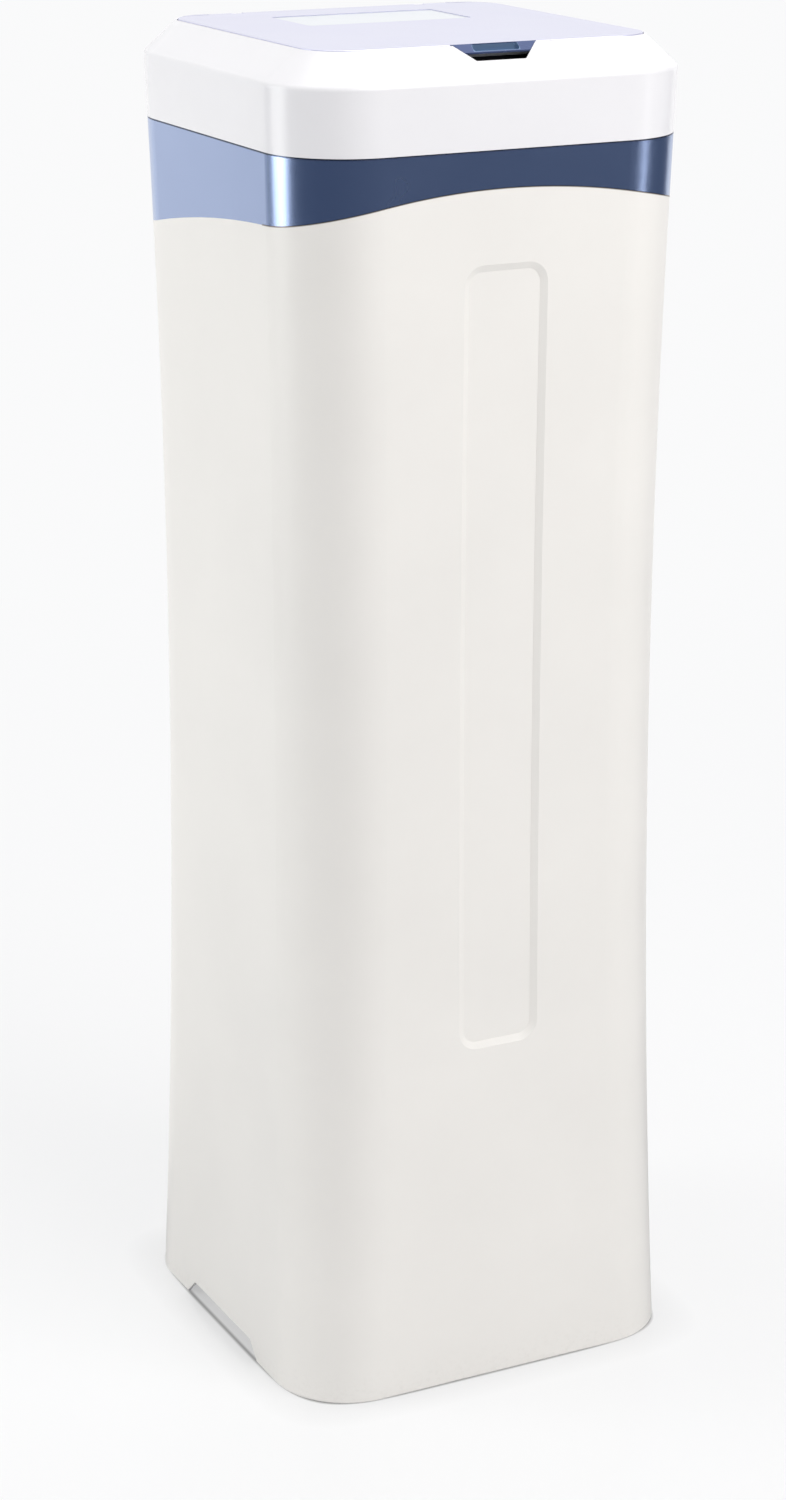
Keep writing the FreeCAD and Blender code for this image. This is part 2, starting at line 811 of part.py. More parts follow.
def top_cover():
    shell = cover_outside().cut(cover_hollow())
    tongue = layer(tongue_outer.cut(tongue_inner), place.cover_tongue + dim.seat_gap, place.seam_level)
    collar = layer(outer.cut(tongue_inner), place.seam_level, place.seam_level + dim.tongue_height)
    collar = collar.common(cover_outside())
    top = place.total_height
    corner = dim.lid_corner + dim.lid_gap
    pocket = plate(rounded_square(place.opening_half, corner, place.ledge_top), top - place.ledge_top + PAST)
    access_half = place.opening_half - dim.ledge_width
    access = rounded_square(access_half, corner - dim.ledge_width, place.ledge_under - PAST)
    shell = shell.cut([pocket, plate(access, dim.ledge_thickness + 2 * PAST)])
    rim = [edge for edge in shell.Edges if on_level(edge, top)]
    shell = shell.makeFillet(dim.rim_rounding, rim)
    ears, bores = hinge_ears()
    shell = shell.cut(notch_room()).fuse([tongue, collar] + ears).removeSplitter()
    return shell.cut(bores)


def lid_plan(low, high, inset=0.0):
    return plate(rounded_square(place.lid_half - inset, dim.lid_corner - inset, low), high - low)


def corner_regions(edge, front, low, high):
    """Blocks over the two rear corners, from the edge outwards and from the front line back."""
    size = dim.lid_corner * 2
    right = Part.makeBox(size, size, high - low, FreeCAD.Vector(edge, front, low))
    left = Part.makeBox(size, size, high - low, FreeCAD.Vector(-edge - size, front, low))
    return [left, right]


def lid_panel():
    top = place.total_height
    under = place.lid_under
    lid = lid_plan(under, top)
    lid = lid.makeFillet(dim.lid_rounding, [edge for edge in lid.Edges if on_level(edge, top)])
    size = 3 * place.lid_half
    behind = Part.makeBox(size, size, size, FreeCAD.Vector(-size / 2, place.hinge_y, top - size / 2))
    corners = corner_regions(place.nose_half, place.cap_front - dim.cap_gap, under - PAST, top + PAST)
    nose_start = FreeCAD.Vector(-place.nose_half, place.hinge_y, place.hinge_z)
    nose = Part.makeCylinder(dim.nose_radius, 2 * place.nose_half, nose_start, X_AXIS)
    lid = lid.cut([behind] + corners).fuse(nose).removeSplitter()
    cuts = [label_bed(dim.label_gap, place.label_under, top + PAST)]
    slot_front = place.hinge_y - dim.nose_radius - dim.ear_slot
    slot_size = 2 * (dim.nose_radius + dim.skirt_height)
    for side in (-1, 1):
        middle = side * dim.ear_spacing / 2
        width = dim.ear_width + 2 * dim.ear_gap
        slot_corner = FreeCAD.Vector(middle - width / 2, slot_front, under - slot_size / 2)
        cuts.append(Part.makeBox(width, slot_size, slot_size, slot_corner))
        reach = dim.ear_width / 2 + dim.pin_reach
        bore_start = FreeCAD.Vector(middle - reach, place.hinge_y, place.hinge_z)
        cuts.append(Part.makeCylinder(dim.pin_radius + dim.running_gap, 2 * reach, bore_start, X_AXIS))
    return lid.cut(cuts)


def lid_skirt():
    """The stiffening rim under the lid's sides, open at the finger notch and the hinge."""
    high = place.lid_under
    low = high - dim.skirt_height
    rim = lid_plan(low, high).cut(lid_plan(low, high, dim.skirt_thickness))
    size = 3 * place.lid_half
    start = low - size / 2
    back_corner = FreeCAD.Vector(-size / 2, place.hinge_y - 2 * dim.nose_radius, start)
    front_corner = FreeCAD.Vector(-dim.notch_top / 2, -size / 2, start)
    behind = Part.makeBox(size, size, size, back_corner)
    at_notch = Part.makeBox(dim.notch_top, place.lid_half, size, front_corner)
    return rim.cut([behind, at_notch])


def label_bed(gap, low, high):
    """The bare plate's outline on the lid, wider all round by the gap."""
    length = dim.label_length + 2 * gap
    width = dim.label_width + 2 * gap
    back = place.lid_half - dim.label_back + gap
    bed = Part.makeBox(length, width, high - low, FreeCAD.Vector(-length / 2, back - width, low))
    return bed.makeFillet(dim.label_corner + gap, [edge for edge in bed.Edges if is_upright(edge)])


def hinge_corner_caps():
    plan = lid_plan(place.ledge_top, place.total_height)
    rim = [edge for edge in plan.Edges if on_level(edge, place.total_height)]
    plan = plan.makeFillet(dim.lid_rounding, rim)
    low = place.ledge_top - PAST
    high = place.total_height + PAST
    blocks = corner_regions(place.nose_half + dim.lid_gap, place.cap_front, low, high)
    return plan.common(blocks[0].fuse(blocks[1]))


def lid_finger_pull():
    """The scooped tongue that reaches down the notch from the lid's front edge."""
    edge = place.lid_half
    under = place.pull_under
    top = place.total_height
    plan = notch_plan(dim.pull_gap, dim.pull_reach, edge)
    tongue = prism(plan, under, top).common(cover_outside())
    half = dim.scoop_width / 2
    near = edge + dim.scoop_margin
    far = edge + dim.pull_reach - dim.scoop_margin
    scoop = prism(rectangle(-half, -far, half, -near), under + dim.scoop_wall, top + PAST)
    upright = [side for side in scoop.Edges if is_upright(side)]
    scoop = scoop.makeFillet(dim.scoop_corner, upright)
    tab_top = place.lid_under
    tab_plan = rectangle(-half, -edge - PAST, half, dim.pull_tab - edge)
    tab = prism(tab_plan, tab_top - dim.tab_thickness, tab_top)
    return tongue.fuse(tab).cut(scoop).removeSplitter()


def hinge_pins():
    reach = dim.ear_width / 2 + dim.pin_reach
    pins = []
    for side in (-1, 1):
        start = FreeCAD.Vector(side * dim.ear_spacing / 2 - reach, place.hinge_y, place.hinge_z)
        pins.append(Part.makeCylinder(dim.pin_radius, 2 * reach, start, X_AXIS))
    return Part.makeCompound(pins)


keep(made(cabinet_body()), "cabinet_body")
keep(made(trim_band()), "trim_band")
keep(made(top_cover()), "top_cover")
keep(made(notch_tray()), "notch_tray")
keep(made(lid_panel()), "lid_panel")
keep(made(lid_skirt()), "lid_skirt")
keep(made(label_bed(0, place.label_under, place.label_top)), "lid_label_plate")
keep(made(lid_finger_pull()), "lid_finger_pull")
keep(made(hinge_corner_caps()), "hinge_corner_caps")
keep(made(hinge_pins()), "lid_hinge_pins")


# Pressure vessel, its boot and what it holds


def vessel_boot():
    """The ring that the vessel stands in, hollowed to the vessel's lower dome."""
    radius = "Place.vessel_radius + Dim.boot_wall"
    ring = rod(radius, "Dim.boot_height", z="Place.floor_top")
    dome = turned(
        [
            (0, "Place.vessel_base"),
            ("Place.vessel_radius", "Place.vessel_base"),
            ("Place.vessel_radius", "Place.dome_top"),
            (0, "Place.dome_top"),
        ]
    )
    rounded(dome, "Dim.dome_radius", at_rings(("Place.vessel_radius", "Place.vessel_base")))
    return cut(ring, dome)


def vessel_wrap():
    wall = "Dim.wrap_wall"
    low = "Place.vessel_base + Dim.wrap_wall"
    high = "Place.dome_top - Dim.wrap_wall"
    shell = turned(
        [
            (0, "Place.vessel_base"),
            ("Place.vessel_radius", "Place.vessel_base"),
            ("Place.vessel_radius", "Place.dome_top"),
            ("Place.wrap_neck", "Place.dome_top"),
            ("Place.wrap_neck", "Place.neck_top"),
            ("Place.liner_neck", "Place.neck_top"),
            ("Place.liner_neck", high),
            ("Place.wrap_inside", high),
            ("Place.wrap_inside", low),
            (0, low),
        ]
    )
    radius = "Place.vessel_radius"
    outside = at_rings((radius, "Place.vessel_base"), (radius, "Place.dome_top"))
    rounded(shell, "Dim.dome_radius", outside)
    inside = at_rings(("Place.wrap_inside", low), ("Place.wrap_inside", high))
    return rounded(shell, "Dim.dome_radius - " + wall, inside)


def vessel_liner():
    low = "Place.vessel_base + Dim.wrap_wall"
    high = "Place.dome_top - Dim.wrap_wall"
    shell = turned(
        [
            (0, low),
            ("Place.wrap_inside", low),
            ("Place.wrap_inside", high),
            ("Place.liner_neck", high),
            ("Place.liner_neck", "Place.neck_top"),
            ("Place.insert_radius", "Place.neck_top"),
            ("Place.insert_radius", "Place.dome_inside"),
            ("Place.liner_inside", "Place.dome_inside"),
            ("Place.liner_inside", "Place.media_base"),
            (0, "Place.media_base"),
        ]
    )
    outside = at_rings(("Place.wrap_inside", low), ("Place.wrap_inside", high))
    rounded(shell, "Dim.dome_radius - Dim.wrap_wall", outside)
    radius = "Place.liner_inside"
    inside = at_rings((radius, "Place.media_base"), (radius, "Place.dome_inside"))
    return rounded(shell, "Dim.dome_radius - Dim.wrap_wall - Dim.liner_wall", inside)


def tube(inside, outside, low, high):
    return turned([(inside, low), (outside, low), (outside, high), (inside, high)])


def gravel_bed():
    """The support gravel round the lower strainer."""
    strainer = "Dim.strainer_radius + Dim.free_gap"
    riser = "Dim.riser_radius + Dim.free_gap"
    strainer_top = "Place.media_base + Dim.strainer_height + Dim.free_gap"
    bed = turned(
        [
            (strainer, "Place.media_base"),
            ("Place.liner_inside", "Place.media_base"),
            ("Place.liner_inside", "Place.gravel_top"),
            (riser, "Place.gravel_top"),
            (riser, strainer_top),
            (strainer, strainer_top),
        ]
    )
    corner = at_rings(("Place.liner_inside", "Place.media_base"))
    return rounded(bed, "Dim.dome_radius - Dim.wrap_wall - Dim.liner_wall", corner)


def slots(radius, low):
    """Upright blades across a basket, spread evenly round it."""
    reach = "(%s + 1)" % radius
    half = "Dim.slot_width / 2"
    blades = []
    for index in range(6):
        blade = slab(rectangle("0 - " + reach, "0 - " + half, reach, half), low, "Dim.slot_height")
        blades.append(locate(blade, 0, 0, low, FreeCAD.Rotation(Z_AXIS, 30.0 * index)))
    return blades


def bottom_strainer():
    """The basket at the riser's foot: closed below, with a socket for the riser."""
    outside = "Dim.strainer_radius"
    inside = "Dim.strainer_radius - Dim.strainer_wall"
    low = "Place.media_base"
    shoulder = "Place.media_base + Dim.strainer_height - Dim.strainer_wall"
    high = "Place.media_base + Dim.strainer_height"
    basket = turned(
        [
            (0, low),
            (outside, low),
            (outside, high),
            ("Dim.riser_radius", high),
            ("Dim.riser_radius", shoulder),
            (inside, shoulder),
            (inside, low + " + Dim.strainer_wall"),
            (0, low + " + Dim.strainer_wall"),
        ]
    )
    return cut(basket, *slots(outside, low + " + 3 * Dim.strainer_wall"))


def top_strainer():
    """The basket under the valve that keeps the carbon in."""
    outside = "Dim.neck_bore - Dim.basket_gap"
    inside = "Dim.neck_bore - Dim.basket_gap - Dim.strainer_wall"
    high = "Place.dome_top"
    low = "Place.dome_top - Dim.basket_height"
    basket = turned(
        [
            ("Dim.riser_radius + Dim.free_gap", low),
            (outside, low),
            (outside, high),
            (inside, high),
            (inside, low + " + Dim.strainer_wall"),
            ("Dim.riser_radius + Dim.free_gap", low + " + Dim.strainer_wall"),
        ]
    )
    core = rod("Dim.riser_radius + Dim.basket_gap", "Dim.basket_height", z=low)
    return cut(basket, cut(fused(*slots(outside, low + " + 2 * Dim.strainer_wall")), core))


def o_ring(inside, section, level):
    """A ring squeezed to a rounded square section."""
    outer_edge = "(%s) + (%s)" % (inside, section)
    top = "(%s) + (%s)" % (level, section)
    ring = turned([(inside, level), (outer_edge, level), (outer_edge, top), (inside, top)])
    rings = at_rings((inside, level), (outer_edge, level), (outer_edge, top), (inside, top))
    return rounded(ring, "(%s) * 0.3" % section, rings)


keep(vessel_boot(), "vessel_boot")
keep(vessel_wrap(), "vessel_wrap")
keep(vessel_liner(), "vessel_liner")
insert_low = "Place.neck_top - Dim.insert_length"
keep(tube("Dim.neck_bore", "Place.insert_radius", insert_low, "Place.neck_top"), "neck_insert")
keep(gravel_bed(), "gravel_bed")
riser_room = "Dim.riser_radius + Dim.free_gap"
keep(tube(riser_room, "Place.liner_inside", "Place.gravel_top", "Place.carbon_top"), "carbon_bed")
riser_low = "Place.media_base + 3 * Dim.strainer_wall + Dim.slot_height"
riser_high = "Place.neck_top + Dim.riser_rise"
keep(tube("Dim.riser_radius - Dim.riser_wall", "Dim.riser_radius", riser_low, riser_high), "riser_tube")
keep(bottom_strainer(), "bottom_strainer")
keep(top_strainer(), "top_strainer")


# Control valve


PASSAGES = 8
BONNET_SCREWS = (6, "Place.screw_spread", 30)
PLATE_SCREWS = (3, "Place.plate_spread", 90)
DISC_PORTS = (3, "Dim.disc_radius * 0.6")
STEM_RING = "Place.bonnet_top - 2 * Dim.o_ring_section"


def mirrored_rods(radius, length, y, z):
    """One rod towards the back at each port."""
    return [rod(radius, length, side + "Place.port_offset", y, z, ALONG_Y) for side in ("", "-")]


def drain_rod(radius, start, length):
    """A rod along the drain's branch, its start measured back from the branch's mouth."""
    x = "Dim.drain_offset - (%s)" % start
    return rod(radius, length, x, "Place.drain_y", "Place.port_level", ALONG_X)


def valve_body():
    """The valve's moulding: threaded boss, collar, core, head and the tubes to its ports."""
    boss = "Dim.neck_bore - Dim.free_gap"
    web_y = "Dim.core_radius + Dim.web_reach"
    web_z = "Place.port_level - Dim.web_height / 2"
    solids = [
        rod(boss, "Dim.neck_height", z="Place.dome_top"),
        rod("Dim.collar_radius", "Dim.collar_thickness", z="Place.neck_top"),
        rod("Dim.core_radius", "Dim.valve_height - 1", z="Place.neck_top"),
        rod("Dim.head_radius", "Dim.head_thickness", z="Place.disc_seat - Dim.head_thickness"),
        block("-Place.port_offset", web_y, web_z, "Dim.port_spacing", "Dim.web_thickness", "Dim.web_height"),
        drain_rod("Dim.drain_radius + Dim.drain_boss", "Dim.drain_offset", "Dim.drain_offset"),
    ]
    solids += mirrored_rods("Dim.port_radius", "Place.valve_reach", 0, "Place.port_level")
    groove_start = "Place.valve_reach - Dim.clip_groove - Dim.clip_thickness"
    groove_width = "Dim.clip_thickness + Dim.running_gap"
    wide = mirrored_rods("Place.port_flange", groove_width, groove_start, "Place.port_level")
    radius = "Dim.port_radius - Dim.clip_groove"
    narrow = mirrored_rods(radius, groove_width, groove_start, "Place.port_level")
    grooves = [cut(outside, inside) for outside, inside in zip(wide, narrow)]
    riser_socket = "Dim.neck_height + Dim.riser_rise + 1"
    disc_low = "Place.disc_seat - Dim.disc_thickness"
    hollows = [
        rod("Dim.riser_radius + Dim.running_gap", riser_socket, z="Place.dome_top - 1"),
        rod("Dim.riser_radius - Dim.riser_wall", "Dim.valve_height", z="Place.neck_top"),
        rod("Dim.disc_radius + Dim.running_gap", "Dim.disc_thickness", z=disc_low),
        drain_rod("Dim.drain_radius + Dim.running_gap", "Dim.stub_length + 1", "Dim.stub_length + 2"),
        drain_rod("Dim.drain_radius - Dim.drain_wall", "Dim.drain_run", "Dim.drain_run"),
    ]
    hollows += mirrored_rods("Dim.port_bore", "Place.valve_reach", "Dim.port_start", "Place.port_level")
    passage = "Dim.neck_height + Dim.port_height / 2"
    spread = "(Dim.riser_radius + Dim.neck_bore) / 2"
    low = "Place.dome_top - 1"
    hollows += ring_of(lambda x, y: rod("Dim.passage_radius", passage, x, y, low), PASSAGES, spread)
    hollows += bonnet_screw_holes("Place.disc_seat - Dim.screw_length", "Dim.screw_length + 1")
    groove_low = "Place.neck_top - 1"
    groove_height = "Dim.o_ring_section + 1"
    ring_depth = rod("Dim.neck_bore + Dim.o_ring_section - Dim.free_gap", groove_height, z=groove_low)
    ring_core = rod(boss, groove_height, z=groove_low)
    return cut(fused(*solids), cut(ring_depth, ring_core), *grooves, *hollows)


def bonnet_screw_holes(low, length):
    return ring_of(lambda x, y: rod("Dim.screw_radius", length, x, y, low), *BONNET_SCREWS)


def bonnet_screws():
    """Screws through the bonnet's flange, one every sixth of the circle."""
    seat = "Place.disc_seat + Dim.bonnet_flange"
    length = "Dim.screw_length + Dim.bonnet_flange - 1"
    sizes = ("Dim.screw_radius", "Dim.screw_head", "Dim.screw_head_height", length)
    return fused(*ring_of(lambda x, y: screw(*sizes, x, y, seat), *BONNET_SCREWS))


def bonnet():
    """The cap over the discs, with the stem's bearing in its neck."""
    room = "Place.disc_seat + Dim.disc_thickness + Dim.stem_flange + 2 * Dim.free_gap"
    flange = "Place.disc_seat + Dim.bonnet_flange"
    chamber = "Dim.disc_radius + Dim.disc_margin"
    bearing = "Dim.stem_radius + Dim.running_gap"
    cap = turned(
        [
            (chamber, "Place.disc_seat"),
            ("Dim.head_radius", "Place.disc_seat"),
            ("Dim.head_radius", flange),
            ("Dim.bonnet_neck + Dim.disc_margin", flange),
            ("Dim.bonnet_neck", "Place.bonnet_top"),
            (bearing, "Place.bonnet_top"),
            (bearing, room),
            (chamber, room),
        ]
    )
    groove = rod("Dim.stem_radius + Dim.o_ring_section", "Dim.o_ring_section", z=STEM_RING)
    screw_holes = bonnet_screw_holes("Place.disc_seat - 1", "Dim.bonnet_flange + 2") + plate_screw_holes()
    return cut(cap, groove, *screw_holes)


def plate_screw_holes():
    low = "Place.plate_top - Dim.plate_screw_length"
    length = "2 * Dim.plate_screw_length"
    return ring_of(lambda x, y: rod("Dim.screw_radius", length, x, y, low), *PLATE_SCREWS)


def plate_screws():
    sizes = ("Dim.screw_radius", "Dim.plate_head", "Dim.plate_head_height", "Dim.plate_screw_length")
    return fused(*ring_of(lambda x, y: screw(*sizes, x, y, "Place.plate_top"), *PLATE_SCREWS))


def ported_disc(radius, low, first):
    """A ceramic disc with three ports."""
    disc = rod(radius, "Dim.disc_thickness", z=low)
    through = "Dim.disc_thickness + 2"
    ports = ring_of(lambda x, y: rod("Dim.disc_port", through, x, y, low + " - 1"), *DISC_PORTS, first)
    return cut(disc, *ports)


def rotor_stem():
    """The stem that turns the moving disc, with its driving flange."""
    seat = "Place.disc_seat + Dim.disc_thickness"
    flange = seat + " + Dim.stem_flange"
    top = "Place.gear_top + Dim.stem_rise"
    radius = "Dim.disc_radius - Dim.disc_margin"
    return turned(
        [
            (0, seat),
            (radius, seat),
            (radius, flange),
            ("Dim.stem_radius", flange),
            ("Dim.stem_radius", top),
            (0, top),
        ]
    )


keep(valve_body(), "valve_body")
keep(o_ring("Dim.neck_bore - Dim.free_gap", "Dim.o_ring_section", "Place.neck_top"), "neck_o_ring")
keep(ported_disc("Dim.disc_radius", "Place.disc_seat - Dim.disc_thickness", 0), "fixed_disc")
keep(ported_disc("Dim.disc_radius", "Place.disc_seat", 20), "moving_disc")
keep(rotor_stem(), "rotor_stem")
keep(bonnet(), "bonnet")
stem_ring = ("Dim.stem_radius + Dim.running_gap", "Dim.stem_radius + Dim.o_ring_section")
keep(tube(*stem_ring, STEM_RING, STEM_RING + " + Dim.o_ring_section"), "stem_o_ring")
keep(bonnet_screws(), "bonnet_screws")


# Drive


def gear_outline(teeth, backlash):
    """One closed involute outline, with a tooth centred on +X."""
    module = dim.gear_module
    pressure = math.radians(20)
    pitch = module * teeth / 2
    base = pitch * math.cos(pressure)
    tip = pitch + module
    root = pitch - 1.25 * module
    start = max(base, root)
    half_at_pitch = (math.pi * module / 2 - backlash) / 2 / pitch
    half_at_base = half_at_pitch + math.tan(pressure) - pressure
    flank = []
    for step in range(5):
        radius = start + (tip - start) * step / 4
        spread = math.acos(min(1.0, base / radius))
        flank.append((radius, half_at_base - (math.tan(spread) - spread)))
    if root < start:
        flank.insert(0, (root, half_at_base))
    corners = []
    for tooth in range(int(teeth)):
        middle = 2 * math.pi * tooth / teeth
        around = [(radius, middle - half) for radius, half in flank]
        around += [(radius, middle + half) for radius, half in reversed(flank)]
        corners += [FreeCAD.Vector(radius * math.cos(a), radius * math.sin(a), 0) for radius, a in around]
    return Part.makePolygon(corners + corners[:1])


def main_gear():
    """The gear on the stem, with a hub and lightening holes."""
    blank = plate(gear_outline(dim.gear_teeth, dim.gear_backlash), dim.gear_thickness)
    hub_radius = dim.stem_radius + dim.hub_wall
    hub = Part.makeCylinder(hub_radius, dim.gear_thickness + dim.hub_rise)
    bore = Part.makeCylinder(dim.stem_radius, dim.gear_thickness + dim.hub_rise)
    pitch = dim.gear_module * dim.gear_teeth / 2
    middle = (hub_radius + pitch - 2 * dim.gear_module) / 2
    size = (pitch - 2 * dim.gear_module - hub_radius) / 2 - dim.gear_web
    holes = []
    for index in range(6):
        angle = math.radians(60 * index + 30)
        spot = FreeCAD.Vector(middle * math.cos(angle), middle * math.sin(angle), 0)
        holes.append(Part.makeCylinder(size, dim.gear_thickness, spot))
    return blank.fuse(hub).cut([bore] + holes)


def drive_pinion():
    """The pinion and its shaft, which runs in the gearbox above."""
    blank = plate(gear_outline(dim.pinion_teeth, dim.gear_backlash), dim.gear_thickness)
    shaft_length = place.bracket_base + dim.bracket_thickness + dim.motor_height / 2 - place.gear_base
    return blank.fuse(Part.makeCylinder(dim.shaft_radius, shaft_length))


def housing_plan(grow):
    """The control housing's outline from above, wider all round by a formula."""
    half = "Place.housing_half + " + grow
    front = "0 - (Dim.housing_front + %s)" % grow
    return rectangle("0 - (%s)" % half, front, half, "Dim.housing_back + " + grow)


def gear_plate():
    base = slab(housing_plan("0"), "Place.bonnet_top", "Dim.plate_thickness", "Dim.housing_corner")
    hole = rod("Dim.stem_radius + Dim.shaft_radius", "Dim.plate_thickness + 2", z="Place.bonnet_top - 1")
    return cut(base, hole, *plate_screw_holes())


def motor_bracket():
    """A step over the pinion: a top plate on one leg that stands on the gear plate."""
    half = "Dim.motor_radius"
    under = "Place.bracket_base - 1"
    top = block(
        "Place.gear_centres - Dim.motor_radius",
        "-" + half,
        "Place.bracket_base",
        "Dim.motor_radius + Dim.motor_room - Dim.bracket_inset",
        "2 * Dim.motor_radius",
        "Dim.bracket_thickness",
    )
    leg = block(
        "Place.gear_centres + Dim.motor_room - Dim.bracket_inset - Dim.bracket_thickness",
        "-" + half,
        "Place.plate_top",
        "Dim.bracket_thickness",
        "2 * Dim.motor_radius",
        "Place.bracket_base - Place.plate_top + Dim.bracket_thickness",
    )
    radius = "Dim.shaft_radius + Dim.shaft_gap"
    hole = rod(radius, "Dim.bracket_thickness + 2", "Place.gear_centres", 0, under)
    return cut(fused(top, leg), hole)


def gear_motor():
    """A flat gearbox with the motor's can on top."""
    low = "Place.bracket_base + Dim.bracket_thickness"
    box = rod("Dim.motor_radius", "Dim.motor_height * Dim.gearbox_share", "Place.gear_centres", 0, low)
    can = rod("Dim.motor_radius - Dim.can_step", "Dim.motor_height", "Place.gear_centres", 0, low)
    hole_length = "Dim.motor_height / 2 + Dim.free_gap"
    hole = rod("Dim.shaft_radius + Dim.running_gap", hole_length, "Place.gear_centres", 0, low)
    return cut(fused(box, can), hole)


keep(gear_plate(), "gear_plate")
keep(plate_screws(), "gear_plate_screws")
keep(locate(made(main_gear()), z="Place.gear_base"), "main_gear")
keep(locate(made(drive_pinion()), "Place.gear_centres", 0, "Place.gear_base"), "drive_pinion")
keep(motor_bracket(), "motor_bracket")
keep(gear_motor(), "gear_motor")


# Controls under the lid

LENS_X = "-24"
LENS_Y = "-44"
KEY_X = "46"
KEY_Y = "-44"


def lens_corners(gap):
    half_length = "Dim.lens_length / 2 + (%s)" % gap
    half_width = "Dim.lens_width / 2 + (%s)" % gap
    return rectangle(
        "%s - (%s)" % (LENS_X, half_length),
        "%s - (%s)" % (LENS_Y, half_width),
        "%s + %s" % (LENS_X, half_length),
        "%s + %s" % (LENS_Y, half_width),
    )


def key_centre(column, row):
    """The middle of a key, its column and row each given as -1 or 1."""
    return "%s + %s * Dim.key_pitch / 2" % (KEY_X, column), "%s + %s * Dim.key_pitch / 2" % (KEY_Y, row)


def key_corners(column, row, grow):
    x, y = key_centre(column, row)
    half = "(Dim.key_size / 2 + %s)" % grow
    return rectangle(x + " - " + half, y + " - " + half, x + " + " + half, y + " + " + half)


KEY_SPOTS = {"menu_key": (-1, 1), "up_key": (1, 1), "down_key": (-1, -1), "backwash_key": (1, -1)}


def control_housing():
    """The cover over the drive, open below, with a bed for the lens and four key holes."""
    wall = "Dim.housing_wall"
    outside = slab(housing_plan("0"), "Place.plate_top", "Dim.housing_height", "Dim.housing_corner")
    rounded(outside, "Dim.housing_rounding", lambda edge: on_level(edge, dim.housing_height))
    inside_plan = housing_plan("(0 - %s)" % wall)
    inside_height = "Dim.housing_height + 1 - " + wall
    inside = slab(inside_plan, "Place.plate_top - 1", inside_height, "Dim.housing_corner - " + wall)
    bed = slab(lens_corners("Dim.free_gap / 2"), "Place.housing_top - Dim.lens_thickness", wall)
    low = "Place.housing_top - 2 * " + wall
    through = "4 * " + wall
    window = slab(lens_corners("0 - Dim.lens_lap"), low, through)
    corner = "Dim.key_corner + Dim.free_gap"
    spots = KEY_SPOTS.values()
    keys = [slab(key_corners(*spot, "Dim.free_gap"), low, through, corner) for spot in spots]
    return cut(outside, inside, bed, window, *keys)


def display_lens():
    low = "Place.housing_top - Dim.lens_thickness"
    return slab(lens_corners("-Dim.free_gap / 2"), low, "Dim.lens_thickness", "Dim.lens_corner")


def key(column, row):
    """A push key held under the housing's top by its flange, with a stem down to its switch."""
    x, y = key_centre(column, row)
    play = "Dim.key_play"
    under = "Place.housing_top - Dim.housing_wall - " + play
    cap_height = "Dim.housing_wall + Dim.key_proud + " + play
    cap = slab(key_corners(column, row, 0), under, cap_height, "Dim.key_corner")
    flange = key_corners(column, row, "Dim.key_rim")
    skirt = slab(flange, under + " - Dim.key_flange", "Dim.key_flange", "Dim.key_corner")
    foot = "Place.board_top + Dim.switch_height + Dim.key_travel + Dim.free_gap"
    stem = rod("Dim.key_stem", "%s - (%s)" % (under, foot), x, y, foot)
    return fused(cap, skirt, stem)


def circuit_board():
    """The board with its four switches and the display module, on posts from the housing's top."""
    left = "%s - Dim.lens_length / 2" % LENS_X
    front = "%s - Dim.lens_width / 2 - Dim.board_margin" % LENS_Y
    length = "Dim.lens_length + Dim.board_extra"
    width = "Dim.lens_width + 2 * Dim.board_margin"
    low = "Place.board_top - Dim.board_thickness"
    solids = [block(left, front, low, length, width, "Dim.board_thickness")]
    for column, row in KEY_SPOTS.values():
        x, y = key_centre(column, row)
        half = "Dim.switch_size / 2"
        corner = ("%s - %s" % (x, half), "%s - %s" % (y, half), "Place.board_top")
        solids.append(block(*corner, "Dim.switch_size", "Dim.switch_size", "Dim.switch_height"))
    setback = "(Dim.post_radius + 1)"
    for across in (setback, "%s - %s" % (length, setback)):
        for along in (setback, "%s - %s" % (width, setback)):
            x, y = "%s + %s" % (left, across), "%s + %s" % (front, along)
            solids.append(rod("Dim.post_radius", "Dim.board_drop", x, y, "Place.board_top"))
    solids.append(
        block(
            left + " + Dim.module_margin",
            "%s - Dim.lens_width / 2 + Dim.module_margin" % LENS_Y,
            "Place.board_top",
            "Dim.lens_length - 2 * Dim.module_margin",
            "Dim.lens_width - 2 * Dim.module_margin",
            "Dim.board_drop + Dim.housing_wall - Dim.lens_thickness - Dim.free_gap",
        )
    )
    return fused(*solids)


keep(control_housing(), "control_housing")
keep(display_lens(), "display_lens")
keep(circuit_board(), "circuit_board")
for label, (column, row) in KEY_SPOTS.items():
    keep(key(column, row), label)


# Deck round the controls

DECK_SPOTS = [(x + "Place.boss_place", y + "Place.boss_place") for x in ("", "-") for y in ("", "-")]


def deck_plate():
    """The plate that closes the compartment below the lid, round the control housing."""
    gap = "Dim.deck_gap"
    half = "Place.seam_half - Place.band_wall - " + gap
    corner = "Dim.corner_radius - Place.band_wall - " + gap
    deck = slab(square(half), "Place.deck_under", "Dim.deck_thickness", corner)
    low = "Place.deck_under - 1"
    through = "Dim.deck_thickness + 2"
    opening = slab(housing_plan(gap), low, through, "Dim.housing_corner + " + gap)
    holes = [rod("Dim.deck_screw_radius", through, x, y, low) for x, y in DECK_SPOTS]
    return cut(deck, opening, *holes)


def deck_screws():
    radius = "Dim.deck_screw_radius"
    sizes = (radius, "2 * " + radius, "Dim.deck_head_height", "Dim.deck_screw_length")
    return fused(*[screw(*sizes, x, y, "Place.plate_top") for x, y in DECK_SPOTS])


keep(deck_plate(), "deck_plate")
keep(deck_screws(), "deck_screws")


# Bypass, unions and drain at the back

OFFSETS = ("Place.port_offset", "-Place.port_offset")


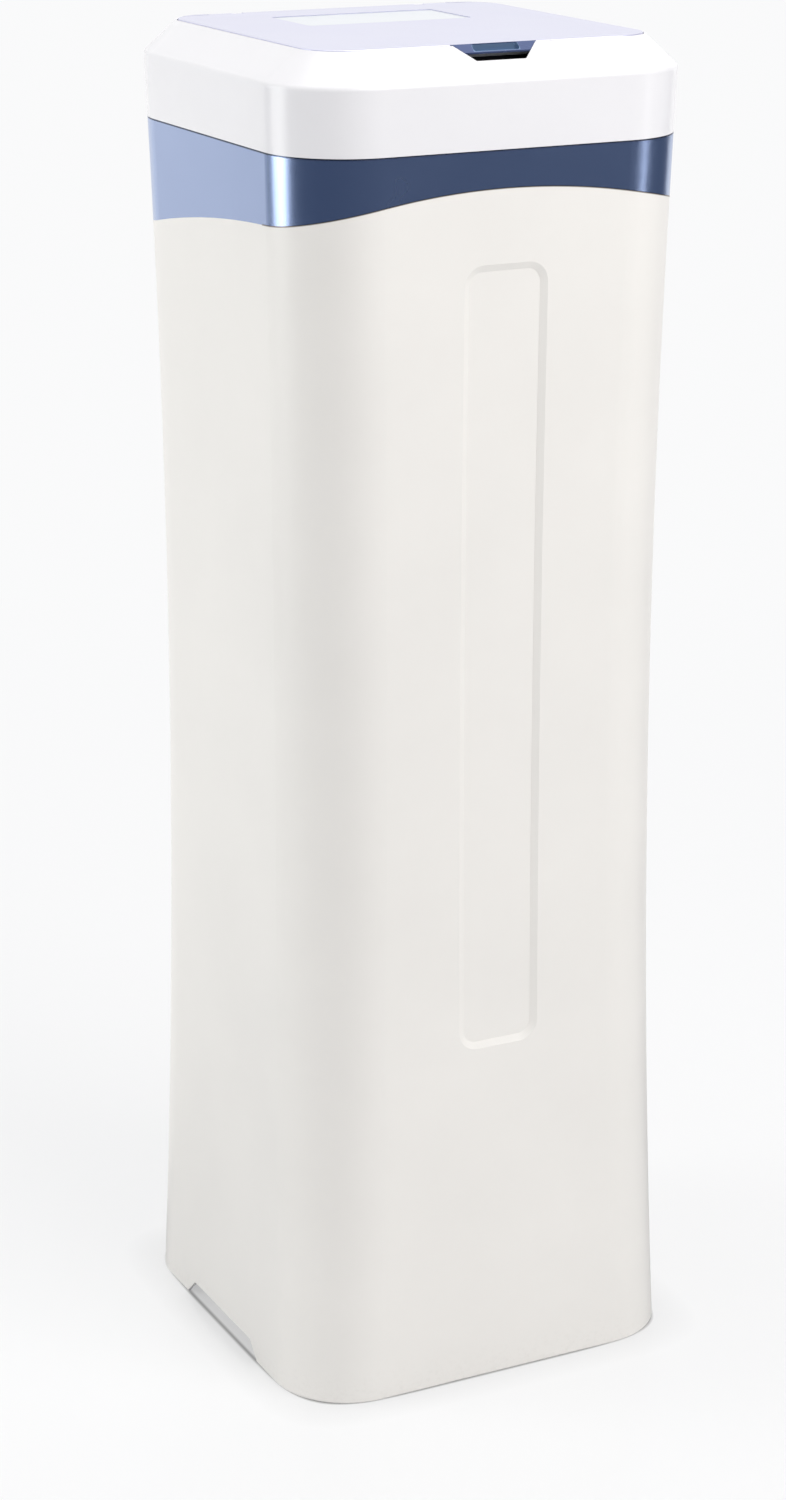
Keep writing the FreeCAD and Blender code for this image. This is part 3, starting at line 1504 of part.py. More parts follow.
def bypass_body():
    """Two upright plug housings joined by a crossover, with spigots to the valve."""
    y = "Place.bypass_y"
    level = "Place.port_level"
    low = level + " - Dim.bypass_radius"
    height = "Dim.bypass_radius + Dim.bypass_rise"
    run = "Dim.bypass_radius + Dim.spigot_length"
    solids = [rod("Dim.bypass_radius", height, x, y, low) for x in OFFSETS]
    solids += mirrored_rods("Dim.port_radius", run, "Place.valve_reach", level)
    solids += mirrored_rods("Place.port_flange", "Dim.boss_reach", y, level)
    spigot = "Dim.port_bore - Dim.running_gap"
    spigot_end = "Place.valve_reach - Dim.spigot_length"
    solids += mirrored_rods(spigot, "2 * Dim.spigot_length", spigot_end, level)
    solids.append(rod("Dim.crossover_radius", "Dim.port_spacing", "-Place.port_offset", y, level, ALONG_X))
    through = "Dim.port_bore - Dim.running_gap - Dim.spigot_wall"
    length = "Place.boss_end - Place.valve_reach + Dim.spigot_length + 2"
    hollows = mirrored_rods(through, length, spigot_end + " - 1", level)
    room = "Dim.plug_radius + Dim.running_gap"
    depth = "Dim.plug_radius + Dim.bypass_rise + 1"
    hollows += [rod(room, depth, x, y, level + " - Dim.plug_radius") for x in OFFSETS]
    return cut(fused(*solids), *hollows, *port_rings(spigot + " + 1"))


def port_rings(outside):
    """Rings that fill the grooves near the spigots' ends, out to a radius."""
    wide = mirrored_rods(outside, "Dim.o_ring_section", "Place.ring_y", "Place.port_level")
    slim = mirrored_rods("Place.ring_seat", "Dim.o_ring_section", "Place.ring_y", "Place.port_level")
    return [cut(a, b) for a, b in zip(wide, slim)]


def port_o_rings():
    return fused(*port_rings("Dim.port_bore"))


def port_clips():
    """U-shaped plates that drop into the grooves of the valve's port tubes."""
    clips = []
    start = "Place.valve_reach - Dim.clip_groove - Dim.clip_thickness + Dim.running_gap / 2"
    before = start + " - 1"
    through = "Dim.clip_thickness + 2"
    slot = "(Dim.port_radius - Dim.clip_groove)"
    half = "(Dim.port_radius + Dim.clip_overlap)"
    low = "Place.port_level - Dim.clip_drop"
    for x in OFFSETS:
        sheet = block(x + " - " + half, start, low, "2 * " + half, "Dim.clip_thickness", "Dim.clip_height")
        gap = block(x + " - " + slot, before, low + " - 1", "2 * " + slot, through, "Dim.clip_drop + 1")
        hole = rod(slot, through, x, before, "Place.port_level", ALONG_Y)
        clips.append(cut(sheet, gap, hole))
    return fused(*clips)


def bypass_plug(side):
    """The plug in the housing, with a bore along the flow and a stem upwards."""
    x = side + "Place.port_offset"
    low = "Place.port_level - Dim.plug_radius + Dim.free_gap"
    height = "Dim.plug_radius + Dim.bypass_rise - Dim.free_gap"
    plug = rod("Dim.plug_radius", height, x, "Place.bypass_y", low)
    stem = rod("Dim.plug_stem", "Dim.knob_base", x, "Place.bypass_y", "Place.bypass_top")
    reach = "2 * Dim.plug_radius + 2"
    start = "Place.bypass_y - Dim.plug_radius - 1"
    bore = rod("Dim.plug_bore", reach, x, start, "Place.port_level", ALONG_Y)
    return cut(fused(plug, stem), bore)


def bypass_knob(side):
    """A round knob with a bar grip that points along the flow when open."""
    x = side + "Place.port_offset"
    low = "Place.bypass_top + Dim.free_gap"
    flat = "Dim.knob_radius - Dim.knob_chamfer"
    disc = turned(
        [
            ("Dim.plug_stem", 0),
            (flat, 0),
            ("Dim.knob_radius", "Dim.knob_chamfer"),
            ("Dim.knob_radius", "Dim.knob_base - Dim.knob_chamfer"),
            (flat, "Dim.knob_base"),
            ("Dim.plug_stem", "Dim.knob_base"),
        ],
        x,
        "Place.bypass_y",
        low,
    )
    half = "Dim.knob_radius - Dim.grip_inset"
    grip = block(
        "%s - Dim.knob_grip_width / 2" % x,
        "Place.bypass_y - (%s)" % half,
        low + " + Dim.knob_base - Dim.free_gap",
        "Dim.knob_grip_width",
        "2 * (%s)" % half,
        "Dim.knob_grip + Dim.free_gap",
    )
    return fused(disc, grip)


def nipple(side):
    """A flanged adapter with a 1 inch parallel pipe thread, drawn at its full outside size."""
    x = side + "Place.port_offset"
    bore = "Dim.port_bore"
    neck = "Dim.nipple_radius - Dim.neck_relief"
    shoulder = "Dim.flange_thickness + Dim.nipple_neck"
    far = shoulder + " + Dim.nipple_length"
    corners = [
        (bore, 0),
        ("Place.port_flange", 0),
        ("Place.port_flange", "Dim.flange_thickness"),
        (neck, "Dim.flange_thickness"),
        (neck, shoulder),
        ("Dim.nipple_radius", shoulder),
        ("Dim.nipple_radius", far),
        (bore, far),
    ]
    return turned(corners, x, "Place.boss_end", "Place.port_level", ALONG_Y)


def union_nuts():
    """The nuts that draw the adapters' flanges onto the bypass."""
    front = "Dim.flange_thickness + Dim.nut_lip"
    back = "%s - Dim.nut_length" % front
    inside = "Place.port_flange + Dim.running_gap"
    throat = "Dim.nipple_radius + Dim.free_gap"
    corners = [
        (inside, back),
        ("Dim.nut_radius", back),
        ("Dim.nut_radius", front),
        (throat, front),
        (throat, "Dim.flange_thickness"),
        (inside, "Dim.flange_thickness"),
    ]
    return fused(*[turned(corners, x, "Place.boss_end", "Place.port_level", ALONG_Y) for x in OFFSETS])


def drain_elbow():
    """The drain's elbow: a stub in the valve, a quarter bend and a hose barb out of the back."""
    level = "Place.port_level"
    run = "Place.nipple_end - Dim.barb_length - Place.drain_y - Dim.drain_bend"

    def shape(radius, longer):
        bend = doc.addObject("Part::Torus", "Bend")
        bind(bend, Radius1="Dim.drain_bend", Radius2=radius, Angle3=90)
        turn = FreeCAD.Rotation(Z_AXIS, -90)
        locate(bend, "Dim.drain_offset", "Place.drain_y + Dim.drain_bend", level, turn)
        stub = drain_rod(radius, "Dim.stub_length", "Dim.stub_length")
        tail = rod(radius, run, "Place.drain_x", "Place.drain_y + Dim.drain_bend", level, ALONG_Y)
        return [bend, stub, tail] + longer

    start = "Place.nipple_end - Dim.barb_length"
    barb = turned(
        [
            (0, 0),
            ("Dim.barb_radius", 0),
            ("Dim.barb_radius", "Dim.barb_length"),
            (0, "Dim.barb_length"),
        ],
        "Place.drain_x",
        start,
        level,
        ALONG_Y,
    )
    bore = "Dim.drain_radius - Dim.elbow_wall"
    through = rod(bore, "Dim.barb_length + 2", "Place.drain_x", start + " - 1", level, ALONG_Y)
    return cut(fused(*shape("Dim.drain_radius", [barb])), *shape(bore, [through]))


def power_socket():
    """The low-voltage socket in the back wall, with its outside flange."""
    floor = "Dim.socket_floor - Dim.socket_length"
    corners = [
        ("Dim.socket_bore", "Dim.socket_rim"),
        ("Dim.socket_flange", "Dim.socket_rim"),
        ("Dim.socket_flange", 0),
        ("Dim.socket_radius", 0),
        ("Dim.socket_radius", "-Dim.socket_length"),
        (0, "-Dim.socket_length"),
        (0, floor),
        ("Dim.socket_bore", floor),
    ]
    face = "Place.socket_face + Dim.socket_seat"
    return turned(corners, "-Dim.socket_offset", face, "Place.socket_level", ALONG_Y)


keep(bypass_body(), "bypass_body")
keep(port_o_rings(), "port_o_rings")
keep(port_clips(), "port_clips")
for name, side in (("inlet", ""), ("outlet", "-")):
    keep(bypass_plug(side), name + "_plug")
    keep(bypass_knob(side), name + "_knob")
    keep(nipple(side), name + "_nipple")
keep(union_nuts(), "union_nuts")
keep(drain_elbow(), "drain_elbow")
keep(power_socket(), "power_socket")


# Checks and export

doc.recompute()
for item in doc.Objects:
    if "Invalid" in item.State or "Error" in item.State:
        raise RuntimeError("%s (%s) failed: %s" % (item.Name, item.Label, item.State))

os.makedirs("parts", exist_ok=True)
for item in nodes:
    shape = item.Shape
    if shape.isNull() or not shape.isValid() or not shape.Solids:
        raise RuntimeError("%s has no valid solid" % item.Label)
    shape.exportStep("parts/%s.step" % item.Label)
    print("%-20s %2d solid(s) %9.1f cm3" % (item.Label, len(shape.Solids), shape.Volume / 1000))
print(len(nodes), "parts; height", place.total_height, "base", 2 * wall_half(0, 0))
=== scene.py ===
import json
import math

import bpy
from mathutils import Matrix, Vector

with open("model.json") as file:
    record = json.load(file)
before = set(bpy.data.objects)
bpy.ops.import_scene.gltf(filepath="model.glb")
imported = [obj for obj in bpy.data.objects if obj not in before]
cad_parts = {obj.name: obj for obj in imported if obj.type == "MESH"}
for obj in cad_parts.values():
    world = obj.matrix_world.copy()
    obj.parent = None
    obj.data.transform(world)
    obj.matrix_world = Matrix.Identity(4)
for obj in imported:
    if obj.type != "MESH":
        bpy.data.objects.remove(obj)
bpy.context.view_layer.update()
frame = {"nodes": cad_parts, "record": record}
nodes = frame["nodes"]

scene = bpy.context.scene
scene.view_settings.view_transform = "Standard"


# Camera

CAMERA_PLACE = Vector((-1.2440, -2.4553, 1.4137))
CAMERA_TARGET = Vector((-0.00952, 0.00478, 0.51296))

camera_data = bpy.data.cameras.new("camera")
camera_data.lens = 80.3
camera_data.sensor_width = 36.0
camera = bpy.data.objects.new("camera", camera_data)
camera.location = CAMERA_PLACE
camera.rotation_euler = (CAMERA_TARGET - CAMERA_PLACE).to_track_quat("-Z", "Y").to_euler()
scene.collection.objects.link(camera)
scene.camera = camera


# Places on the model that the finishes are drawn to, in metres

BAND_FRONT = 0.1769
BAND_TOP = 1.052
WAVE_MIDDLE = -0.448
WAVE_RUN = 0.837
WAVE_RING = 0.633
SCOOP_HALF = 0.0203
SCOOP_FRONT = -0.1554
SCOOP_EDGE = 1.1292
PORT_OFFSET = 0.035
PORT_LEVEL = 0.985
BASE_HALF = 0.1812
BASE_SQUARENESS = 6.1
NUT_RIBS = 28.0


# Node materials


class Shader:
    """A material's node tree with short calls for what the finishes share."""

    def __init__(self, name, owner=None):
        self.material = owner or bpy.data.materials.new(name)
        self.material.use_nodes = True
        self.tree = self.material.node_tree
        self.tree.nodes.clear()
        self.output = self.add("ShaderNodeOutputWorld" if owner else "ShaderNodeOutputMaterial")
        self.coordinates = self.add("ShaderNodeTexCoord").outputs["Generated" if owner else "Object"]

    def add(self, kind, **settings):
        node = self.tree.nodes.new(kind)
        for name, value in settings.items():
            setattr(node, name, value)
        return node

    def link(self, source, target):
        self.tree.links.new(source, target)

    def feed(self, socket, value):
        """Join an output to a socket, or set the socket's plain value."""
        if isinstance(value, bpy.types.NodeSocket):
            self.link(value, socket)
        elif isinstance(value, (tuple, list)) and len(value) == 3 and len(socket.default_value) == 4:
            socket.default_value = (*value, 1.0)
        else:
            socket.default_value = value

    def noise(self, scale, detail=3.0, roughness=0.55, stretch=None):
        node = self.add("ShaderNodeTexNoise")
        node.inputs["Scale"].default_value = scale
        node.inputs["Detail"].default_value = detail
        node.inputs["Roughness"].default_value = roughness
        source = self.coordinates
        if stretch is not None:
            mapping = self.add("ShaderNodeMapping")
            mapping.inputs["Scale"].default_value = stretch
            self.link(source, mapping.inputs["Vector"])
            source = mapping.outputs["Vector"]
        self.link(source, node.inputs["Vector"])
        return node.outputs["Fac"]

    def spread(self, value, low, high, start=0.3, end=0.7):
        """Map a value's range onto another range, held at the ends."""
        node = self.add("ShaderNodeMapRange")
        for socket, number in zip(("From Min", "From Max", "To Min", "To Max"), (start, end, low, high)):
            node.inputs[socket].default_value = number
        self.link(value, node.inputs["Value"])
        return node.outputs["Result"]

    def math(self, operation, first, second=0.0):
        node = self.add("ShaderNodeMath", operation=operation)
        self.feed(node.inputs[0], first)
        self.feed(node.inputs[1], second)
        return node.outputs[0]

    def mix(self, share, first, second):
        node = self.add("ShaderNodeMix", data_type="RGBA")
        self.feed(node.inputs[0], share)
        self.feed(node.inputs[6], first)
        self.feed(node.inputs[7], second)
        return node.outputs[2]

    def blend(self, share, first, second):
        """One shader turning into another."""
        node = self.add("ShaderNodeMixShader")
        self.feed(node.inputs["Fac"], share)
        self.link(first.outputs[0], node.inputs[1])
        self.link(second.outputs[0], node.inputs[2])
        return node

    def bump(self, height, distance, strength=1.0, below=None):
        node = self.add("ShaderNodeBump")
        node.inputs["Distance"].default_value = distance
        node.inputs["Strength"].default_value = strength
        self.link(height, node.inputs["Height"])
        if below is not None:
            self.link(below, node.inputs["Normal"])
        return node.outputs["Normal"]

    def level(self):
        """Height above the floor, in metres."""
        return self.axes()[2]

    def length(self, first, second):
        """The length of two numbers at right angles."""
        return self.math("SQRT", self.math("ADD", self.math("POWER", first, 2.0), self.math("POWER", second, 2.0)))

    def axes(self):
        """The X, Y and Z of the object's coordinates."""
        node = self.add("ShaderNodeSeparateXYZ")
        self.link(self.coordinates, node.inputs["Vector"])
        return [node.outputs[letter] for letter in "XYZ"]

    def lit_room(self, x, y):
        """1 where the studio is bright: the wedge behind the object, between two slanted lines."""
        left = self.spread(self.math("ADD", x, self.math("MULTIPLY", y, 0.6)), 0.0, 1.0, -0.06, 0.06)
        right = self.spread(self.math("SUBTRACT", y, self.math("MULTIPLY", x, 0.36)), 0.0, 1.0, -0.06, 0.06)
        return self.math("MULTIPLY", left, right)

    def surface(self, **sockets):
        node = self.add("ShaderNodeBsdfPrincipled")
        for name, value in sockets.items():
            self.feed(node.inputs[name.replace("_", " ")], value)
        self.link(node.outputs["BSDF"], self.output.inputs["Surface"])
        return self.material


def tinted(color, factor):
    return tuple(min(1.0, channel * factor) for channel in color)


def seam_shade(shader, tone):
    """Painted shadow lines, thin and dark, where the blue band meets the body's wave and the cover's rim."""
    x, y, z = shader.axes()
    run = shader.length(shader.math("ADD", y, BAND_FRONT), shader.math("SUBTRACT", z, WAVE_MIDDLE))
    ring = shader.length(shader.math("SUBTRACT", run, WAVE_RUN), x)
    off_wave = shader.math("ABSOLUTE", shader.math("SUBTRACT", ring, WAVE_RING))
    at_front = shader.math("LESS_THAN", y, -0.1)
    wave = shader.math("MULTIPLY", at_front, shader.spread(off_wave, 1.0, 0.0, 0.0003, 0.0008))
    rim = shader.spread(z, 0.0, 1.0, BAND_TOP - 0.0016, BAND_TOP - 0.0009)
    rim = shader.math("MULTIPLY", rim, shader.math("LESS_THAN", z, BAND_TOP + 0.0002))
    shade = shader.mix(rim, (0.19, 0.15, 0.12), (0.03, 0.035, 0.05))
    return shader.mix(shader.math("MULTIPLY", shader.math("MAXIMUM", wave, rim), 0.85), tone, shade)


def plastic(name, color, roughness, grain=1500.0, grain_depth=0.00002, coat=0.0, dust=0.0, seam_shadows=False):
    """Moulded plastic: fine grain, slow roughness changes and a little dirt low down."""
    shader = Shader(name)
    patches = shader.noise(7.0, 4.0)
    fine = shader.noise(grain, 2.0)
    tone = shader.mix(shader.spread(patches, 0.0, 1.0), tinted(color, 0.985), tinted(color, 1.012))
    if dust:
        near_floor = shader.spread(shader.level(), 1.0, 0.0, 0.0, 0.035)
        specks = shader.spread(shader.noise(260.0, 5.0), 0.0, 1.0, 0.5, 0.75)
        dirt = shader.math("MULTIPLY", shader.math("MULTIPLY", near_floor, specks), dust)
        tone = shader.mix(dirt, tone, (0.42, 0.39, 0.35))
    # Painted shade: thin dark shadow lines along the band's seams.
    if seam_shadows:
        tone = seam_shade(shader, tone)
    rough = shader.spread(patches, roughness * 0.9, roughness * 1.12)
    normal = shader.bump(fine, grain_depth, 0.6)
    return shader.surface(
        Base_Color=tone, Roughness=rough, Normal=normal, Coat_Weight=coat, Coat_Roughness=0.12, IOR=1.49
    )


def in_scoop(shader):
    """1 inside the finger pull's scoop."""
    x, y, z = shader.axes()
    across = shader.math("LESS_THAN", shader.math("ABSOLUTE", x), SCOOP_HALF)
    below = shader.math("LESS_THAN", z, SCOOP_EDGE)
    behind = shader.math("GREATER_THAN", y, SCOOP_FRONT)
    return shader.math("MULTIPLY", shader.math("MULTIPLY", across, below), behind)


def pearl(name, color, metal, roughness, coat=0.4, seam_shadows=False, scoop=None):
    """Metallic lacquer over plastic: flakes in the colour and the slope, clear coat on top."""
    shader = Shader(name)
    flakes = shader.add("ShaderNodeTexVoronoi", feature="F1")
    flakes.inputs["Scale"].default_value = 2600.0
    shader.link(shader.coordinates, flakes.inputs["Vector"])
    split = shader.add("ShaderNodeSeparateColor")
    shader.link(flakes.outputs["Color"], split.inputs["Color"])
    tone = shader.mix(split.outputs["Red"], tinted(color, 0.97), tinted(color, 1.03))
    # Painted shade: thin dark shadow lines along the band's seams.
    if seam_shadows:
        tone = seam_shade(shader, tone)
    # Painted light: the pull's scoop gets a lighter tone to make up for the shade it lies in.
    if scoop:
        tone = shader.mix(in_scoop(shader), tone, scoop)
    slow = shader.noise(9.0, 3.0)
    rough = shader.spread(slow, roughness * 0.92, roughness * 1.1)
    normal = shader.bump(shader.noise(700.0, 2.0), 0.000003, 0.5)
    return shader.surface(
        Base_Color=tone,
        Metallic=metal,
        Roughness=rough,
        Normal=normal,
        Coat_Weight=coat,
        Coat_Roughness=0.06,
        IOR=1.5,
    )


def metal(name, color, roughness, brushed=(1.0, 1.0, 1.0), thread=0.0):
    """Turned or drawn metal with fine lines and a little tarnish, and a thread of the given pitch along Y."""
    shader = Shader(name)
    lines = shader.noise(600.0, 4.0, 0.6, brushed)
    stain = shader.noise(45.0, 4.0)
    tone = shader.mix(shader.spread(stain, 0.0, 0.5, 0.45, 0.75), color, tinted(color, 0.72))
    rough = shader.spread(lines, roughness * 0.75, roughness * 1.3)
    normal = shader.bump(lines, 0.00003, 0.5)
    if thread:
        turns = shader.math("SINE", shader.math("MULTIPLY", shader.axes()[1], math.tau / thread))
        normal = shader.bump(turns, 0.0004, 1.0, normal)
    return shader.surface(Base_Color=tone, Metallic=1.0, Roughness=rough, Normal=normal)


def ribbed_nut(name, color, roughness):
    """Moulded union nuts with grip ribs around the two ports' axes, with painted shade in the rib grooves and a
    painted highlight on the crests.
    """
    shader = Shader(name)
    x, y, z = shader.axes()
    aside = shader.math("SUBTRACT", shader.math("ABSOLUTE", x), PORT_OFFSET)
    turn = shader.math("ARCTAN2", shader.math("SUBTRACT", z, PORT_LEVEL), aside)
    ribs = shader.math("SINE", shader.math("MULTIPLY", turn, NUT_RIBS))
    # Painted shade and highlight: darker in the rib grooves, lighter on the rib crests.
    tone = shader.mix(shader.spread(ribs, 0.0, 1.0, -1.0, 1.0), tinted(color, 0.6), tinted(color, 1.3))
    normal = shader.bump(ribs, 0.0005, 1.0, shader.bump(shader.noise(700.0, 2.0), 0.00008, 0.6))
    return shader.surface(Base_Color=tone, Roughness=roughness, Normal=normal)


def rubber(name, color, roughness=0.62):
    shader = Shader(name)
    fine = shader.noise(900.0, 4.0, 0.65)
    bloom = shader.spread(shader.noise(30.0, 5.0), 0.0, 0.3, 0.45, 0.8)
    tone = shader.mix(bloom, color, tuple(channel * 0.7 + 0.12 for channel in color))
    return shader.surface(Base_Color=tone, Roughness=roughness, Normal=shader.bump(fine, 0.00005, 0.7), IOR=1.5)


def grains(name, light, dark, size, roughness, sheen=0.0):
    """A bed of loose grains, each with a tone and a slope of its own, with painted shade in the gaps between them.
    """
    shader = Shader(name)
    cells = shader.add("ShaderNodeTexVoronoi", feature="F1")
    cells.inputs["Scale"].default_value = 1.0 / size
    shader.link(shader.coordinates, cells.inputs["Vector"])
    split = shader.add("ShaderNodeSeparateColor")
    shader.link(cells.outputs["Color"], split.inputs["Color"])
    tone = shader.mix(split.outputs["Red"], dark, light)
    # Painted shade: the gaps between the grains are painted dark.
    gaps = shader.spread(cells.outputs["Distance"], 1.0, 0.0, 0.2, 0.75)
    shade = shader.mix(gaps, tinted(dark, 0.3), tone)
    normal = shader.bump(gaps, size * 0.35, 1.0)
    return shader.surface(
        Base_Color=shade,
        Roughness=shader.spread(split.outputs["Green"], roughness * 0.7, roughness, 0.0, 1.0),
        Normal=normal,
        Sheen_Weight=sheen,
    )


def wound_fibre(name, color):
    """Glass fibre wound in two slants under clear resin."""
    shader = Shader(name)
    x, y, z = shader.axes()
    turn = shader.math("ARCTAN2", y, x)
    height = shader.math("MULTIPLY", z, 230.0)
    around = shader.math("MULTIPLY", turn, 14.0)
    rising = shader.math("SINE", shader.math("ADD", height, around))
    falling = shader.math("SINE", shader.math("SUBTRACT", height, around))
    weave = shader.math("MAXIMUM", rising, falling)
    strands = shader.noise(520.0, 3.0, 0.6, (0.35, 0.35, 1.6))
    tone = shader.mix(shader.spread(weave, 0.0, 1.0, -0.4, 1.0), tinted(color, 0.8), tinted(color, 1.12))
    tone = shader.mix(shader.spread(strands, 0.0, 0.35), tone, tinted(color, 0.7))
    normal = shader.bump(weave, 0.0002, 0.6, shader.bump(strands, 0.0001, 0.5))
    return shader.surface(Base_Color=tone, Roughness=0.34, Normal=normal, Coat_Weight=0.5, Coat_Roughness=0.1)


def lens_glass(name):
    shader = Shader(name)
    smear = shader.spread(shader.noise(60.0, 4.0), 0.03, 0.12)
    return shader.surface(
        Base_Color=(0.12, 0.16, 0.17), Roughness=smear, Transmission_Weight=0.75, IOR=1.49
    )


def board(name):
    """Green lacquer with fine traces in two directions."""
    shader = Shader(name)
    steps = shader.add("ShaderNodeTexBrick")
    steps.inputs["Scale"].default_value = 160.0
    steps.inputs["Color1"].default_value = (0.02, 0.16, 0.08, 1.0)
    steps.inputs["Color2"].default_value = (0.03, 0.2, 0.1, 1.0)
    steps.inputs["Mortar"].default_value = (0.09, 0.32, 0.15, 1.0)
    shader.link(shader.coordinates, steps.inputs["Vector"])
    return shader.surface(Base_Color=steps.outputs["Color"], Roughness=0.35, Coat_Weight=0.4)


FINISHES = {
    "body_white": plastic("body_white", (0.90, 0.876, 0.838), 0.42, 1300.0, 0.00003, 0.05, dust=0.1, seam_shadows=True),
    "cover_white": plastic("cover_white", (0.895, 0.885, 0.905), 0.24, 1600.0, 0.000008, 0.1),
    "trim_blue": pearl("trim_blue", (0.43, 0.525, 0.77), 0.94, 0.25, 0.1, seam_shadows=True),
    # lid_blue, trim_blue and pull_blue are one blue plastic. The lid's lighter colour is painted light from the
    # overhead lamp at a grazing angle on the top. The pull's darker colour is painted shade on the front-facing
    # tongue.
    "lid_blue": pearl("lid_blue", (0.71, 0.71, 0.87), 0.5, 0.3, 0.2),
    # The scoop tone on the pull is painted light. It is lighter than the cheeks to offset the scoop's shade.
    "pull_blue": pearl("pull_blue", (0.105, 0.14, 0.29), 0.6, 0.26, 0.3, scoop=(0.22, 0.33, 0.5)),
    # Painted shade: the black tray lining the pocket under the finger pull stands in for the pocket's shadow.
    "tray_black": plastic("tray_black", (0.012, 0.012, 0.014), 0.5),
    "label_blank": plastic("label_blank", (0.79, 0.82, 0.86), 0.3, 1800.0, 0.00001, 0.2),
    "hinge_steel": metal("hinge_steel", (0.6, 0.61, 0.63), 0.3, (0.2, 1.0, 1.0)),
    "screw_steel": metal("screw_steel", (0.62, 0.63, 0.65), 0.32),
    "boot_black": rubber("boot_black", (0.045, 0.045, 0.05)),
    "vessel_composite": wound_fibre("vessel_composite", (0.42, 0.47, 0.5)),
    "liner_plastic": plastic("liner_plastic", (0.83, 0.84, 0.83), 0.45),
    "insert_plastic": plastic("insert_plastic", (0.1, 0.105, 0.11), 0.45),
    "gravel": grains("gravel", (0.62, 0.56, 0.48), (0.26, 0.23, 0.2), 0.004, 0.8),
    "carbon": grains("carbon", (0.07, 0.07, 0.075), (0.012, 0.012, 0.013), 0.0016, 0.55),
    "strainer_plastic": plastic("strainer_plastic", (0.1, 0.26, 0.56), 0.4),
    "pipe_plastic": plastic("pipe_plastic", (0.86, 0.86, 0.86), 0.4),
    "valve_black": plastic("valve_black", (0.035, 0.037, 0.042), 0.38, 900.0, 0.00005),
    "disc_ceramic": plastic("disc_ceramic", (0.88, 0.87, 0.83), 0.12, 2000.0, 0.000004, 0.3),
    "seal_rubber": rubber("seal_rubber", (0.02, 0.02, 0.02), 0.5),
    "gear_plastic": plastic("gear_plastic", (0.82, 0.79, 0.7), 0.42),
    "motor_steel": metal("motor_steel", (0.58, 0.59, 0.6), 0.34, (1.0, 1.0, 0.15)),
    "control_grey": plastic("control_grey", (0.11, 0.125, 0.155), 0.42, 800.0, 0.00006),
    "display_glass": lens_glass("display_glass"),
    "board_green": board("board_green"),
    "key_blue": rubber("key_blue", (0.16, 0.27, 0.5), 0.55),
    "deck_grey": plastic("deck_grey", (0.23, 0.26, 0.31), 0.45, 800.0, 0.00006),
    "knob_blue": plastic("knob_blue", (0.03, 0.14, 0.45), 0.36),
    "nut_plastic": ribbed_nut("nut_plastic", (0.05, 0.052, 0.058), 0.42),
    "fitting_brass": metal("fitting_brass", (0.72, 0.53, 0.26), 0.26, (1.0, 0.12, 1.0), thread=0.0023),
    "socket_plastic": plastic("socket_plastic", (0.02, 0.02, 0.02), 0.35),
}

for part in frame["record"]["subparts"]:
    item = nodes[part["node"]]
    finish = FINISHES[part["material_slot"]]
    for slot in item.material_slots:
        slot.material = finish


# Floor, backdrop and light


def ray_is(tree, *kinds):
    """One output that is 1 for the given kinds of ray."""
    path = tree.nodes.new("ShaderNodeLightPath")
    total = path.outputs[kinds[0]]
    for kind in kinds[1:]:
        joined = tree.nodes.new("ShaderNodeMath")
        joined.operation = "MAXIMUM"
        tree.links.new(total, joined.inputs[0])
        tree.links.new(path.outputs[kind], joined.inputs[1])
        total = joined.outputs[0]
    return total


def sheet_mesh(name, rows):
    """A mesh from rows of points, each row as long as the next."""
    width = len(rows[0])
    points = [point for row in rows for point in row]
    faces = []
    for row in range(len(rows) - 1):
        for column in range(width - 1):
            corner = row * width + column
            faces.append((corner, corner + 1, corner + width + 1, corner + width))
    mesh = bpy.data.meshes.new(name)
    mesh.from_pydata(points, [], faces)
    mesh.update()
    item = bpy.data.objects.new(name, mesh)
    scene.collection.objects.link(item)
    return item


PAPER_WHITE = 0.962
PAPER_COLOR = (0.992, 0.994, 1.0, 1.0)
ROOM_COLOR = (0.042, 0.068, 0.118, 1.0)
FLOOR_REACH = 40.0


def base_distance(shader, x, y):
    """How far outside the base's rounded square a point on the floor lies."""
    powers = [shader.math("POWER", shader.math("ABSOLUTE", value), BASE_SQUARENESS) for value in (x, y)]
    outline = shader.math("POWER", shader.math("ADD", *powers), 1.0 / BASE_SQUARENESS)
    return shader.math("SUBTRACT", outline, BASE_HALF)


def contact_shade(shader, x, y):
    """Painted shadow on the floor: 1 on open floor, less close to the base, darkest in the thin gap under its edge
    and darker under the base.
    """
    distance = base_distance(shader, x, y)
    soft = shader.spread(distance, 0.9, 1.0, 0.0, 0.035)
    edge = shader.spread(shader.math("ABSOLUTE", distance), 0.4, 1.0, 0.0004, 0.003)
    inside = shader.spread(distance, 0.9, 1.0, -0.003, 0.001)
    return shader.math("MULTIPLY", soft, shader.math("MULTIPLY", edge, inside))


